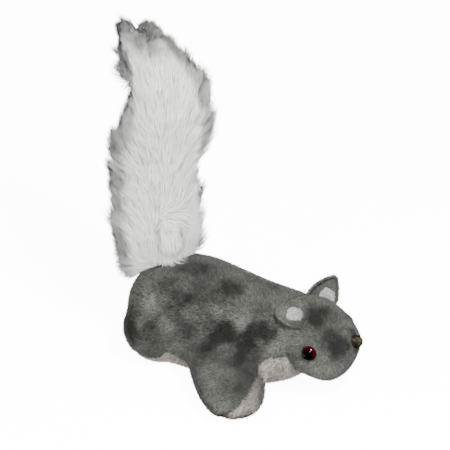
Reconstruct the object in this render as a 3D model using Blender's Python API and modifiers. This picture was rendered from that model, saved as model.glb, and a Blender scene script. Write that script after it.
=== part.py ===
"""A plush squirrel with an upright fur tail, built the way a sewn soft toy is built.

The toy faces +X and lies on its belly with +Z up, in metres. The origin is the middle of the
flat spot that it rests on. Short-pile panels, cut and sewn, make the body and head skins. They
close over loose stuffing. The tail is a bag of long fur in two panels over its own stuffing.
"""

import bpy
import bmesh
from math import cos, sin, pi, radians, copysign
from mathutils import Matrix, Vector

MM = 0.001

# Clearances and skins
SEAM_GAP = 0.3 * MM        # between two pieces that meet
SKIN = 4.0 * MM            # short pile and its backing cloth
FUR = 13.0 * MM            # long pile and its backing cloth

# Soft forms: the voxel that they are remeshed with, and the triangles that they are left with
FINE_MESH = 4 * MM
BODY_TRIANGLES = 1300
BAG_TRIANGLES = 600
TAIL_TRIANGLES = 1000

# Body, from the rump to the throat
RUMP_REACH = 72 * MM       # from the origin back to the rump
BODY_LENGTH = 180 * MM
BODY_WIDTH = 94 * MM
BODY_HEIGHT = 89 * MM
BODY_SQUARENESS = 2.6      # 2 is an ellipse, and more is squarer
HAUNCH_LENGTH = 66 * MM
HAUNCH_SET = 3.5 * MM      # from the back of the rump to the back of the haunch
HAUNCH_BULGE = 5 * MM      # how far a haunch stands out of the flank
HAUNCH_HEIGHT = 60 * MM

# Forelegs, splayed out from the shoulder to the paw
SHOULDER_X = 28 * MM
SHOULDER_Y = 24 * MM
SHOULDER_Z = 33 * MM
PAW_X = 84 * MM
PAW_Y = 95 * MM
PAW_Z = 10 * MM
LEG_WIDTH = 66 * MM
LEG_THICKNESS = 52 * MM
LEG_SQUARENESS = 2.2

# Head
HEAD_LENGTH = 75 * MM
HEAD_WIDTH = 70 * MM
HEAD_HEIGHT = 67 * MM
HEAD_LIFT = 18 * MM        # from the floor to the chin
HEAD_SET = 35 * MM         # how far the back of the head sinks into the neck
HEAD_SQUARENESS = 2.1
HEAD_SIDES = 14
GUSSET_WIDTH = 30 * MM     # the strip over the forehead, between the two side panels

# Nose, ears and eyes
NOSE_LENGTH = 9 * MM
NOSE_WIDTH = 14 * MM
NOSE_HEIGHT = 11.5 * MM
NOSE_SINK = 3 * MM         # its middle behind the tip of the muzzle
NOSE_LIFT = 3.3 * MM       # its middle above the tip of the muzzle
EAR_ALONG = 0.36           # from the back of the head, as a share of its length
EAR_LIFT = radians(50)     # above the widest line of the head
EAR_SINK_LEFT = 3 * MM     # the root's middle under the surface of the head
EAR_SINK_RIGHT = -3.5 * MM   # the right ear lies on the head, on the back of its cup
EAR_UP_LEFT = (0.18, 0.59, 0.79)     # which way each ear stands: the left one straight up,
EAR_UP_RIGHT = (-0.60, -0.48, 0.64)  # and the right one laid back
EAR_TURN = radians(-60)    # both cups are turned this far to the toy's right
EAR_WIDTH = 29 * MM
EAR_HEIGHT = 25 * MM
EAR_DEPTH = 9 * MM
EAR_OPENING = 0.20         # where the cup ends, as a share of its depth past the middle
EAR_POINT = 0.45           # how far its sides draw in towards the tip
EAR_CURL = 2 * MM          # how far the tip of the left ear is bent to the front
EAR_WALL = 3.4 * MM
LINING_WALL = 1.6 * MM
LINING_OPENING = 0.05      # where the lining ends, as EAR_OPENING
LINING_WIDTH = 0.52        # as a share of the ear's width
LINING_TOP = 0.50          # as a share of the ear's height
LINING_SHIFT = 4 * MM      # how far the left ear's lining is set to the front
EYE_DIAMETER = 13.5 * MM
EYE_ALONG = 0.61           # from the back of the head, as a share of its length
EYE_LIFT = radians(10)     # above the widest line of the head
EYE_RISE = 4.2 * MM        # dome height over its rim
EYE_SEAT = 1.0 * MM        # thickness of the disc under the dome
EYE_SINK = 1.4 * MM        # rim below the tips of the pile
PUPIL_DIAMETER = 8.4 * MM
STEM_DIAMETER = 3.2 * MM
WASHER_DIAMETER = 11 * MM
WASHER_THICKNESS = 1.2 * MM
STEM_END = 1.5 * MM        # stem left past the washer

# Tail
TAIL_HEIGHT = 255 * MM     # from its lowest fur to the tips of the two lobes
TAIL_WIDTH = 89 * MM
TAIL_DEPTH = 66 * MM
TAIL_FOOT = 57 * MM        # from the floor to its lowest fur
TAIL_BACK = 52 * MM        # from the origin back to the root
TAIL_SIDE = 4 * MM
TAIL_SQUARENESS = 2.1
TAIL_SEAM = 0.06           # how far the seam is set towards the front, as a share of depth
TAIL_TURN = radians(48)    # its white face turns this far from the toy's right side to its front

# Colours as in the photograph
SLATE = (0.115, 0.122, 0.105, 1)
PALE = (0.62, 0.58, 0.56, 1)
WHITE_FUR = (0.74, 0.74, 0.72, 1)
GREY_FUR = (0.30, 0.31, 0.29, 1)
FIBRE = (0.85, 0.84, 0.80, 1)
RUBY = (0.22, 0.005, 0.02, 1)
BLACK = (0.01, 0.01, 0.012, 1)
OLIVE = (0.14, 0.11, 0.03, 1)
MILKY = (0.7, 0.7, 0.68, 1)


def cleared_scene():
    """Removes what the scene holds and gives the collections for parts and for cutters."""
    for old in list(bpy.data.objects):
        bpy.data.objects.remove(old)
    parts = bpy.data.collections.new("plush_squirrel")
    cutters = bpy.data.collections.new("cutters")
    for collection in (parts, cutters):
        bpy.context.scene.collection.children.link(collection)
    return parts, cutters


PARTS, CUTTERS = cleared_scene()


def finish(name, colour, roughness, metallic=0.0):
    """A Principled material for one kind of cloth or plastic."""
    material = bpy.data.materials.new(name)
    material.use_nodes = True
    shader = material.node_tree.nodes["Principled BSDF"]
    shader.inputs["Base Color"].default_value = colour
    shader.inputs["Roughness"].default_value = roughness
    shader.inputs["Metallic"].default_value = metallic
    material.diffuse_color = colour
    return material


FINISHES = {
    "grey_plush": finish("grey_plush", SLATE, 0.95),
    "pale_plush": finish("pale_plush", PALE, 0.95),
    "white_fur": finish("white_fur", WHITE_FUR, 0.9),
    "grey_fur": finish("grey_fur", GREY_FUR, 0.9),
    "fibre": finish("fibre", FIBRE, 1.0),
    "ruby_plastic": finish("ruby_plastic", RUBY, 0.08),
    "black_plastic": finish("black_plastic", BLACK, 0.12),
    "olive_yarn": finish("olive_yarn", OLIVE, 0.8),
    "milky_plastic": finish("milky_plastic", MILKY, 0.4),
}


def helper(name, mesh):
    """An object that only shapes others. Renders and the build leave it out."""
    made = bpy.data.objects.new(name, mesh)
    made.hide_render = True
    made.display_type = "WIRE"
    CUTTERS.objects.link(made)
    return made


def part(name, mesh, material):
    """A visible piece of the toy, smooth except over sharp edges."""
    made = bpy.data.objects.new(name, mesh)
    made.data.materials.clear()
    made.data.materials.append(FINISHES[material])
    made.data.shade_smooth()
    made.data.set_sharp_from_angle(angle=radians(40))
    PARTS.objects.link(made)
    return made


def baked(obj):
    """The mesh of an object with its modifiers and its placing worked in."""
    bpy.context.view_layer.update()
    graph = bpy.context.evaluated_depsgraph_get()
    mesh = bpy.data.meshes.new_from_object(obj.evaluated_get(graph), depsgraph=graph)
    mesh.transform(obj.matrix_world)
    return mesh


def combined(mesh, others, operation):
    """The mesh after a Boolean with each of the other meshes in turn."""
    base = helper("base", mesh)
    for number, other in enumerate(others):
        step = base.modifiers.new(f"{operation.lower()}_{number}", "BOOLEAN")
        step.operation = operation
        step.object = helper(f"tool_{number}", other)
    result = baked(base)
    for used in [base] + [step.object for step in base.modifiers]:
        bpy.data.objects.remove(used)
    return result


def joined(mesh, *others):
    return combined(mesh, others, "UNION")


def cut(mesh, *others):
    return combined(mesh, others, "DIFFERENCE")


def common(mesh, *others):
    return combined(mesh, others, "INTERSECT")


def softened(mesh, rounds, triangles):
    """Stuffing rounds off the corners: the shape is remeshed, smoothed and thinned."""
    form = helper("form", mesh)
    remesh = form.modifiers.new("even", "REMESH")
    remesh.mode = "VOXEL"
    remesh.voxel_size = FINE_MESH
    smooth = form.modifiers.new("round", "SMOOTH")
    smooth.factor = 0.5
    smooth.iterations = rounds
    even = baked(form)
    bpy.data.objects.remove(form)
    even.calc_loop_triangles()
    thinned = helper("thinned", even)
    thin = thinned.modifiers.new("thin", "DECIMATE")
    thin.ratio = triangles / len(even.loop_triangles)
    shape = bmesh.new()
    shape.from_mesh(baked(thinned))
    bpy.data.objects.remove(thinned)
    return meshed(shape, "soft")


def grown(mesh, distance):
    """The closed mesh with its surface moved out by a distance, or in if it is negative."""
    form = helper("grown", mesh)
    move = form.modifiers.new("offset", "DISPLACE")
    move.mid_level = 0
    move.strength = distance
    result = baked(form)
    bpy.data.objects.remove(form)
    return result


def box(low, high):
    """A box mesh between two corners."""
    shape = bmesh.new()
    bmesh.ops.create_cube(shape, size=1)
    low, high = Vector(low), Vector(high)
    size = Matrix.Diagonal((*(high - low), 1))
    shape.transform(Matrix.Translation((low + high) / 2) @ size)
    return meshed(shape, "box")


def meshed(shape, name):
    """The shape as triangles, so that an offset copy of it bends over the same edges."""
    bmesh.ops.triangulate(shape, faces=shape.faces)
    mesh = bpy.data.meshes.new(name)
    shape.to_mesh(mesh)
    shape.free()
    return mesh


def ball(radii, place, segments=20, rings=12):
    """A UV sphere with three radii, put in place by a matrix."""
    shape = bmesh.new()
    bmesh.ops.create_uvsphere(shape, u_segments=segments, v_segments=rings, radius=1)
    shape.transform(place @ Matrix.Diagonal((*radii, 1)))
    return meshed(shape, "ball")


def rod(radius, bottom, top, place, sides=12):
    """A cylinder along the placing's Z, from bottom to top."""
    shape = bmesh.new()
    bmesh.ops.create_cone(shape, cap_ends=True, segments=sides, radius1=radius,
                          radius2=radius, depth=top - bottom)
    shape.transform(place @ Matrix.Translation((0, 0, (bottom + top) / 2)))
    return meshed(shape, "rod")


def turned(name, profile, place, steps=14):
    """A profile of (radius, height) points, outer side downwards, turned about Z."""
    mesh = bpy.data.meshes.new(name)
    points = [(radius, 0, height) for radius, height in profile]
    edges = [(n, n + 1) for n in range(len(points) - 1)]
    mesh.from_pydata(points, edges, [])
    form = helper(name, mesh)
    screw = form.modifiers.new("turn", "SCREW")
    screw.steps = screw.render_steps = steps
    screw.use_merge_vertices = True
    screw.merge_threshold = 0.00001
    result = baked(form)
    bpy.data.objects.remove(form)
    result.transform(place)
    return result


def between(rows, count):
    """Rows of numbers read along a smooth Catmull-Rom curve, count steps to each span."""
    found = []
    for n in range(len(rows) - 1):
        before, start = rows[max(n - 1, 0)], rows[n]
        end, after = rows[n + 1], rows[min(n + 2, len(rows) - 1)]
        for step in range(count):
            t = step / count
            found.append([
                0.5 * (2 * b + (c - a) * t + (2 * a - 5 * b + 4 * c - d) * t ** 2
                       + (3 * b - a - 3 * c + d) * t ** 3)
                for a, b, c, d in zip(before, start, end, after)])
    return found + [list(rows[-1])]


def ring(centre, across, upward, squareness=2.0, sides=24):
    """A superellipse about a centre. across and upward are its half axes as vectors."""
    points = []
    for side in range(sides):
        turn = 2 * pi * side / sides
        c, s = cos(turn), sin(turn)
        x = copysign(abs(c) ** (2 / squareness), c)
        y = copysign(abs(s) ** (2 / squareness), s)
        points.append(centre + across * x + upward * y)
    return points


def loft(rings):
    """Joins rings of equal count into a closed skin, and closes each end on its middle."""
    shape = bmesh.new()
    loops = [[shape.verts.new(point) for point in points] for points in rings]
    for first, second in zip(loops, loops[1:]):
        for n in range(len(first)):
            m = (n + 1) % len(first)
            shape.faces.new((first[n], first[m], second[m], second[n]))
    for loop in (loops[0], loops[-1]):
        shape.faces.new(loop)
    bmesh.ops.remove_doubles(shape, verts=shape.verts, dist=0.00001)
    bmesh.ops.recalc_face_normals(shape, faces=shape.faces)
    return meshed(shape, "loft")


# Body: share of length, of half width, and bottom and top as shares of the height
BODY_ROWS = [
    (0.004, 0.20, 0.36, 0.54),
    (0.020, 0.46, 0.22, 0.70),
    (0.060, 0.68, 0.09, 0.83),
    (0.120, 0.84, 0.02, 0.92),
    (0.210, 0.95, -0.02, 0.98),
    (0.340, 1.00, -0.04, 1.00),
    (0.500, 1.00, -0.04, 0.955),
    (0.640, 0.98, -0.03, 0.915),
    (0.760, 0.93, -0.01, 0.90),
    (0.850, 0.87, 0.05, 0.89),
    (0.930, 0.78, 0.13, 0.85),
    (0.975, 0.60, 0.23, 0.76),
    (0.996, 0.28, 0.38, 0.60),
]


def inside(half, inset):
    """A half axis less the inset, but never less than a thread."""
    return max(half - inset, 0.5 * MM)


def torso(inset):
    rings = []
    for along, wide, bottom, top in between(BODY_ROWS, 2):
        centre = Vector((along * (BODY_LENGTH - 2 * inset) - RUMP_REACH + inset, 0,
                         (bottom + top) / 2 * BODY_HEIGHT))
        across = Vector((0, inside(wide * BODY_WIDTH / 2, inset), 0))
        upward = Vector((0, 0, inside((top - bottom) / 2 * BODY_HEIGHT, inset)))
        rings.append(ring(centre, across, upward, BODY_SQUARENESS))
    return loft(rings)


def haunch(side, inset):
    """The thigh as a rounded swelling low on the flank."""
    out = BODY_WIDTH / 4 + HAUNCH_BULGE
    centre = (HAUNCH_LENGTH / 2 - RUMP_REACH + HAUNCH_SET,
              side * BODY_WIDTH / 4, HAUNCH_HEIGHT / 2)
    radii = [half - inset for half in (HAUNCH_LENGTH / 2, out, HAUNCH_HEIGHT / 2)]
    return ball(radii, Matrix.Translation(centre))


# Leg: share of its length, of its half width and of its half thickness
LEG_ROWS = [
    (0.00, 1.00, 1.00),
    (0.34, 1.00, 0.88),
    (0.60, 0.94, 0.70),
    (0.80, 0.82, 0.55),
    (0.92, 0.64, 0.44),
    (0.985, 0.34, 0.26),
]


def leg_axes(side):
    """The shoulder, the run to the paw, and unit vectors across and through the leg."""
    shoulder = Vector((SHOULDER_X, side * SHOULDER_Y, SHOULDER_Z))
    run = Vector((PAW_X, side * PAW_Y, PAW_Z)) - shoulder
    across = run.cross(Vector((0, 0, 1))).normalized()
    through = across.cross(run).normalized()
    return shoulder, run, across, through


def foreleg(side, inset):
    shoulder, run, across, through = leg_axes(side)
    run = run * (1 - inset / run.length)
    rings = [ring(shoulder + run * along, across * inside(wide * LEG_WIDTH / 2, inset),
                  through * inside(thick * LEG_THICKNESS / 2, inset), LEG_SQUARENESS)
             for along, wide, thick in between(LEG_ROWS, 2)]
    return loft(rings)


def body_form(inset=0.0, slack=0.0):
    """Torso, haunches and forelegs as one soft closed form, flat where it meets the floor."""
    rough = joined(torso(inset), *[limb(side, inset) for limb in (haunch, foreleg)
                                   for side in (-1, 1)])
    soft = softened(rough, 10, BODY_TRIANGLES if inset == 0 else BAG_TRIANGLES)
    reach = BODY_LENGTH * 2
    return cut(grown(soft, -slack), box((-reach, -reach, -reach), (reach, reach, inset + slack)))


# Head: share of length, of half width, and bottom and top as shares of the height
HEAD_ROWS = [
    (0.004, 0.22, 0.38, 0.62),
    (0.030, 0.46, 0.26, 0.75),
    (0.095, 0.71, 0.14, 0.87),
    (0.205, 0.91, 0.05, 0.95),
    (0.350, 1.00, 0.00, 0.98),
    (0.500, 1.02, -0.03, 0.95),
    (0.630, 0.98, -0.05, 0.88),
    (0.750, 0.88, -0.05, 0.79),
    (0.860, 0.71, 0.02, 0.705),
    (0.940, 0.48, 0.18, 0.635),
    (0.990, 0.20, 0.40, 0.58),
]


def head_back():
    return BODY_LENGTH - RUMP_REACH - HEAD_SET


def head_ring(row):
    along, wide, bottom, top = row
    centre = Vector((head_back() + along * HEAD_LENGTH, 0,
                     HEAD_LIFT + (bottom + top) / 2 * HEAD_HEIGHT))
    across = Vector((0, wide * HEAD_WIDTH / 2, 0))
    upward = Vector((0, 0, (top - bottom) / 2 * HEAD_HEIGHT))
    return centre, across, upward


def head_form(inset=0.0):
    rings = []
    for row in HEAD_ROWS if inset == 0 else HEAD_ROWS[::2] + HEAD_ROWS[-1:]:
        centre, across, upward = head_ring(row)
        centre.x += inset * (1 - 2 * row[0])
        across.y = inside(across.y, inset)
        upward.z = inside(upward.z, inset)
        rings.append(ring(centre, across, upward, HEAD_SQUARENESS, HEAD_SIDES))
    return loft(rings)


def head_spot(along, lift, side):
    """A point of the head's surface and its outward normal. lift is an angle above level."""
    def at(share, angle):
        rows = between(HEAD_ROWS, 8)
        row = min(rows, key=lambda r: abs(r[0] - share))
        centre, across, upward = head_ring(row)
        return centre + across * side * cos(angle) + upward * sin(angle)
    point = at(along, lift)
    forward = at(along + 0.04, lift) - at(along - 0.04, lift)
    around = at(along, lift + 0.05) - at(along, lift - 0.05)
    normal = forward.cross(around).normalized()
    return point, normal if normal.y * side > 0 else -normal


def facing(point, axis, spin_to=Vector((1, 0, 0))):
    """A placing whose Z runs along axis and whose X leans towards spin_to."""
    z = axis.normalized()
    y = z.cross(spin_to).normalized()
    x = y.cross(z)
    return Matrix.Translation(point) @ Matrix((x, y, z)).transposed().to_4x4()


# The belly gusset's edge: share of the body's length, share of its height
BELLY_ROWS = [
    (-0.05, 0.06),
    (0.07, 0.08),
    (0.20, 0.18),
    (0.29, 0.24),
    (0.37, 0.20),
    (0.46, 0.12),
    (0.62, 0.16),
    (0.80, 0.34),
    (0.92, 0.46),
    (1.10, 0.50),
]
LEG_SEAM_TILT = radians(52)    # the leg's pale side looks forwards and this far down
LEG_SEAM_SET = 4 * MM          # how far the seam lies towards that side
LEG_SEAM_SWEEP = 0.25          # it widens towards the paw by this much of the distance
LEG_SEAM_MIDDLE = 0.65         # where along the leg it lies at that set


FLANK = 0.43 * BODY_WIDTH      # how far out the gusset's own edge counts, short of the legs
LEG_START = 0.40 * BODY_WIDTH  # how far out the leg's seam begins


def belly_zone(grow):
    """All that is belly gusset: the underside, and the front and sole of each foreleg."""
    out, deep = BODY_WIDTH, BODY_HEIGHT
    rings = []
    for along, high in between(BELLY_ROWS, 2):
        x = along * BODY_LENGTH - RUMP_REACH
        top = high * BODY_HEIGHT + grow
        rings.append([Vector((x, -out, top)), Vector((x, out, top)),
                      Vector((x, out, -deep)), Vector((x, -out, -deep))])
    zone = loft(rings)
    middle = box((-BODY_LENGTH, -FLANK, -deep), (BODY_LENGTH * 2, FLANK, deep * 2))
    zone = common(zone, middle)
    return joined(zone, leg_zone(-1, grow), leg_zone(1, grow))


def leg_zone(side, grow):
    """The half of a foreleg in front of and below its seam, from the flank outwards."""
    shoulder, run, across, through = leg_axes(side)
    ahead = across if across.x > 0 else -across
    pale = ahead * cos(LEG_SEAM_TILT) - through * sin(LEG_SEAM_TILT)
    normal = (pale + run.normalized() * LEG_SEAM_SWEEP).normalized()
    seam = shoulder + run * LEG_SEAM_MIDDLE + pale * LEG_SEAM_SET
    size = LEG_WIDTH * 3
    half = box((-size, -size, -grow), (size, size, size))
    half.transform(facing(seam, normal))
    edges = sorted((side * LEG_START, side * size))
    return common(half, box((-size, edges[0], -size), (size, edges[1], size)))


# The head gusset's edge: share of the head's length, share of the gusset's width
GUSSET_ROWS = [(-0.2, 0.9), (0.3, 1.0), (0.7, 0.8), (0.9, 0.42), (1.1, 0.3)]
GUSSET_FOOT = 0.54             # its lowest end, as a share of the head's height


def gusset_zone(grow):
    """All that is head gusset: a strip over the top of the head that narrows to the nose."""
    low = HEAD_LIFT + GUSSET_FOOT * HEAD_HEIGHT - grow
    high = HEAD_LIFT + HEAD_HEIGHT * 2
    rings = []
    for along, wide in between(GUSSET_ROWS, 2):
        x = head_back() + along * HEAD_LENGTH
        y = wide * GUSSET_WIDTH / 2 + grow
        rings.append([Vector((x, -y, high)), Vector((x, y, high)),
                      Vector((x, y, low)), Vector((x, -y, low))])
    return loft(rings)


def half_space(side):
    """Everything on one side of the middle plane, less half a seam gap."""
    far = BODY_LENGTH * 2
    near, end = sorted((side * SEAM_GAP / 2, side * far))
    return box((-far, near, -far), (far, end, far))


# Tail: height, half width and half depth as shares, and how far its middle is set back
TAIL_ROWS = [
    (0.000, 0.18, 0.16, 0.180),
    (0.035, 0.46, 0.42, 0.120),
    (0.080, 0.70, 0.66, 0.050),
    (0.135, 0.90, 0.86, -0.010),
    (0.190, 0.94, 0.92, 0.005),
    (0.300, 0.92, 0.94, 0.030),
    (0.430, 0.90, 0.96, 0.035),
    (0.510, 1.01, 1.00, -0.005),
    (0.575, 1.03, 1.00, -0.045),
    (0.640, 0.97, 0.96, -0.085),
    (0.705, 0.90, 0.92, -0.100),
    (0.765, 0.80, 0.86, -0.085),
    (0.830, 0.70, 0.76, 0.000),
    (0.885, 0.60, 0.64, 0.100),
    (0.930, 0.47, 0.48, 0.185),
    (0.950, 0.34, 0.36, 0.200),
    (0.965, 0.14, 0.16, 0.215),
]


# Tufts that stand out of it: two at the tip, and one low on the front. Rise, how far back,
# across and ahead of the middle, half width, half height
TUFTS = [
    (0.930, 0.325, 0.00, 0.00, 0.115, 0.050),
    (0.940, 0.120, 0.00, 0.00, 0.130, 0.045),
    (0.225, 0.00, 0.08, 0.34, 0.160, 0.080),
]


def tail_axes():
    """Unit vectors across the tail's broad face and out of its white front."""
    front = Vector((sin(TAIL_TURN), -cos(TAIL_TURN), 0))
    return Vector((-front.y, front.x, 0)), front


def tail_middle(rise, back):
    return Vector((-TAIL_BACK - back * TAIL_WIDTH, TAIL_SIDE,
                   TAIL_FOOT + rise * TAIL_HEIGHT))


def tail_form():
    """The fluffed outline: an S from the root to the tip, with the tufts on it."""
    across, front = tail_axes()
    rings = [ring(tail_middle(rise, back), across * wide * TAIL_WIDTH / 2,
                  front * deep * TAIL_DEPTH / 2, TAIL_SQUARENESS, 18)
             for rise, wide, deep, back in between(TAIL_ROWS, 2)]
    soft = softened(loft(rings), 4, TAIL_TRIANGLES)
    tufts = []
    for rise, back, aside, ahead, wide, tall in TUFTS:
        middle = tail_middle(rise, back)
        middle += across * aside * TAIL_WIDTH + front * ahead * TAIL_DEPTH
        radii = (wide * TAIL_WIDTH, wide * TAIL_WIDTH, tall * TAIL_HEIGHT)
        tufts.append(ball(radii, Matrix.Translation(middle), 10, 6))
    return joined(soft, *tufts)


def tail_core(grow):
    """The stuffed tube inside the pile."""
    across, front = tail_axes()
    rings = []
    for rise, wide, deep, back in between(TAIL_ROWS[2:15], 1):
        half_wide = inside(wide * TAIL_WIDTH / 2, FUR) + grow
        half_deep = inside(deep * TAIL_DEPTH / 2, FUR) + grow
        rings.append(ring(tail_middle(rise, back), across * half_wide,
                          front * half_deep, 2.0, 12))
    return loft(rings)


def tail_front_zone(grow):
    """All that is white front panel. The grey back panel wraps over the tip."""
    across, front = tail_axes()
    reach = TAIL_WIDTH
    rings = []
    for rise, wide, deep, back in between(TAIL_ROWS[:14] + [(0.925, 0.6, 0.6, 0.13)], 1):
        seam = tail_middle(rise, back) + front * (TAIL_SEAM * TAIL_DEPTH - grow)
        rings.append([seam - across * reach, seam + across * reach,
                      seam + across * reach + front * reach,
                      seam - across * reach + front * reach])
    return loft(rings)


def ear_placing(side):
    """At the side of the crown. X points out of the cup and Z towards the ear's tip."""
    point, normal = head_spot(EAR_ALONG, EAR_LIFT, side)
    up, sink = (EAR_UP_LEFT, EAR_SINK_LEFT) if side > 0 else (EAR_UP_RIGHT, EAR_SINK_RIGHT)
    ahead = Vector((cos(EAR_TURN), sin(EAR_TURN), 0))
    return facing(point - normal * sink, Vector(up).normalized(), ahead)


def ear_form(side, inset):
    """A closed bulb drawn in towards its tip, at a depth under the ear's outer surface."""
    curl = EAR_CURL if side > 0 else 0.0
    shape = bmesh.new()
    bmesh.ops.create_uvsphere(shape, u_segments=12, v_segments=8, radius=1)
    for vert in shape.verts:
        rise = max(vert.co.z, 0.0)
        vert.co.x *= EAR_DEPTH - inset
        vert.co.y *= (EAR_WIDTH / 2 - inset) * (1 - EAR_POINT * rise ** 2)
        vert.co.y += curl * rise ** 2
        vert.co.z *= EAR_HEIGHT - inset
    shape.transform(ear_placing(side))
    return meshed(shape, "ear")


def ear_front(side, opening):
    """Everything in front of the cup, which begins at a share of its depth."""
    far = EAR_HEIGHT * 3
    front = box((opening * EAR_DEPTH, -far, -far), (far, far, far))
    front.transform(ear_placing(side))
    return front


def ear_cup(side, rooms):
    """A bowl of plush, open in front."""
    hollow = ear_form(side, EAR_WALL)
    return cut(ear_form(side, 0), hollow, ear_front(side, EAR_OPENING), *rooms)


def ear_lining(side, rooms):
    """The pale patch that lines the lower middle of the cup."""
    inset = EAR_WALL + SEAM_GAP
    shift = LINING_SHIFT if side > 0 else 0.0
    half, top = EAR_WIDTH * LINING_WIDTH / 2, EAR_HEIGHT * LINING_TOP
    keep = box((-EAR_DEPTH, shift - half, -top), (EAR_DEPTH, shift + half, top))
    keep.transform(ear_placing(side))
    hollow = ear_form(side, inset + LINING_WALL)
    front = ear_front(side, LINING_OPENING)
    return cut(common(ear_form(side, inset), keep), hollow, front, *rooms)


def eye_placing(side):
    """Z points out of the face and is 0 at the tips of the pile."""
    point, normal = head_spot(EYE_ALONG, EYE_LIFT, side)
    return facing(point, normal)


def eye_profile(inner, outer):
    """Points of the dome from one radius out to another, on a shallow ellipse."""
    steps = 4
    points = []
    for n in range(steps + 1):
        radius = inner + (outer - inner) * n / steps
        rise = (1 - (radius / (EYE_DIAMETER / 2)) ** 2) ** 0.5
        points.append((radius, rise * EYE_RISE - EYE_SINK))
    return points


def eye_parts(side, label):
    """A red cap round a black pupil and stem, held from inside by a washer."""
    place = eye_placing(side)
    rim, pupil, stem = EYE_DIAMETER / 2, PUPIL_DIAMETER / 2, STEM_DIAMETER / 2
    seat = -EYE_SINK - EYE_SEAT
    bore = pupil + SEAM_GAP / 2
    cap = eye_profile(bore, rim) + [(rim, seat), (bore, seat)]
    cap.append(cap[0])
    washer_top = -SKIN - SEAM_GAP
    washer_foot = washer_top - WASHER_THICKNESS
    stem_foot = washer_foot - STEM_END
    pin = [(0, eye_profile(0, pupil)[0][1])] + eye_profile(0, pupil)[1:]
    pin += [(pupil, seat), (stem, seat), (stem, stem_foot), (0, stem_foot)]
    hole, edge = stem + SEAM_GAP, WASHER_DIAMETER / 2
    washer = [(hole, washer_top), (edge, washer_top), (edge, washer_foot),
              (hole, washer_foot), (hole, washer_top)]
    part(f"eye_{label}_cap", turned("cap", cap, place), "ruby_plastic")
    part(f"eye_{label}_pupil", turned("pin", pin, place), "black_plastic")
    part(f"eye_{label}_washer", turned("washer", washer, place), "milky_plastic")
    return [
        rod(rim + SEAM_GAP, seat - SEAM_GAP, 3 * EYE_RISE, place),
        rod(stem + SEAM_GAP, stem_foot - SEAM_GAP, 0, place),
        rod(edge + SEAM_GAP, stem_foot - SEAM_GAP, washer_top + SEAM_GAP, place),
    ]


def nose_placing():
    tip = head_ring(HEAD_ROWS[-1])[0]
    return Matrix.Translation(tip + Vector((-NOSE_SINK, 0, NOSE_LIFT)))


def build_body(form, head_room):
    """Two grey side panels, the pale belly gusset and the stuffing."""
    bag = body_form(SKIN)
    skin = cut(form, bag, head_room)
    upper = cut(skin, belly_zone(SEAM_GAP / 2))
    for side, label in ((1, "left"), (-1, "right")):
        part(f"side_panel_{label}", common(upper, half_space(side)), "grey_plush")
    part("belly_gusset", common(skin, belly_zone(-SEAM_GAP / 2)), "pale_plush")
    part("body_stuffing", cut(body_form(SKIN, SEAM_GAP), head_room), "fibre")


def build_head(form):
    """Two side panels, the gusset over the forehead, the stuffing and the eyes."""
    sockets = eye_parts(1, "left") + eye_parts(-1, "right")
    bag = head_form(SKIN)
    skin = cut(form, bag, *sockets)
    sides = cut(skin, gusset_zone(SEAM_GAP / 2))
    for side, label in ((1, "left"), (-1, "right")):
        part(f"head_panel_{label}", common(sides, half_space(side)), "grey_plush")
    part("head_gusset", common(skin, gusset_zone(-SEAM_GAP / 2)), "grey_plush")
    part("head_stuffing", cut(grown(bag, -SEAM_GAP), *sockets), "fibre")


def build_face(head_room, body_room):
    """The nose at the muzzle's tip, and the ears where the crown meets the neck."""
    rooms = (head_room, body_room)
    radii = (NOSE_LENGTH, NOSE_WIDTH / 2, NOSE_HEIGHT / 2)
    part("nose", cut(ball(radii, nose_placing(), 14, 8), head_room), "olive_yarn")
    for side, label in ((1, "left"), (-1, "right")):
        part(f"ear_{label}", ear_cup(side, rooms), "grey_plush")
        part(f"ear_{label}_lining", ear_lining(side, rooms), "pale_plush")


def build_tail(body_room):
    """A white front panel, a grey back panel and a stuffed core, seated on the rump."""
    fur = cut(tail_form(), tail_core(SEAM_GAP), body_room)
    part("tail_front_fur", common(fur, tail_front_zone(-SEAM_GAP / 2)), "white_fur")
    part("tail_back_fur", cut(fur, tail_front_zone(SEAM_GAP / 2)), "grey_fur")
    part("tail_stuffing", cut(tail_core(0), body_room), "fibre")


def main():
    body, head = body_form(), head_form()
    head_room = grown(head, SEAM_GAP)
    body_room = grown(body, SEAM_GAP)
    build_body(body, head_room)
    build_head(head)
    build_face(head_room, body_room)
    build_tail(body_room)


main()
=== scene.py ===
import bpy
import numpy as np
from math import radians, sin, cos
from mathutils import Matrix, Vector


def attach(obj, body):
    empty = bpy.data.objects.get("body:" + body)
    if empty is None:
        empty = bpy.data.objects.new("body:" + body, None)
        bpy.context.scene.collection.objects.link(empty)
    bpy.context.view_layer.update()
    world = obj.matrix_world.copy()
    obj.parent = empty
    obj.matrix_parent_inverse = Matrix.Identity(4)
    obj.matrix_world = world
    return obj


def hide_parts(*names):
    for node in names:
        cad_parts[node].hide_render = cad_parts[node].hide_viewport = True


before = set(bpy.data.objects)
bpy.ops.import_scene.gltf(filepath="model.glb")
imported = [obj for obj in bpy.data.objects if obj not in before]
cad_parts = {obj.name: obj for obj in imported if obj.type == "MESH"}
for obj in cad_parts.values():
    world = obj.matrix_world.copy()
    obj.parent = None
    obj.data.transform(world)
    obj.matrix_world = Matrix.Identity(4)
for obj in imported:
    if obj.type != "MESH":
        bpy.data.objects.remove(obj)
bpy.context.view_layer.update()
scene = bpy.context.scene
mm = 0.001
thinning = 1

# Which way the photograph is taken from. The toy faces +X and lies on its belly on z = 0.
cameraView = {"azimuth": 30, "elevation": 28, "aim": (-0.0141, 0.0537, 0.1008), "frameWidth": 0.387,
              "distance": 14.0}

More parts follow.
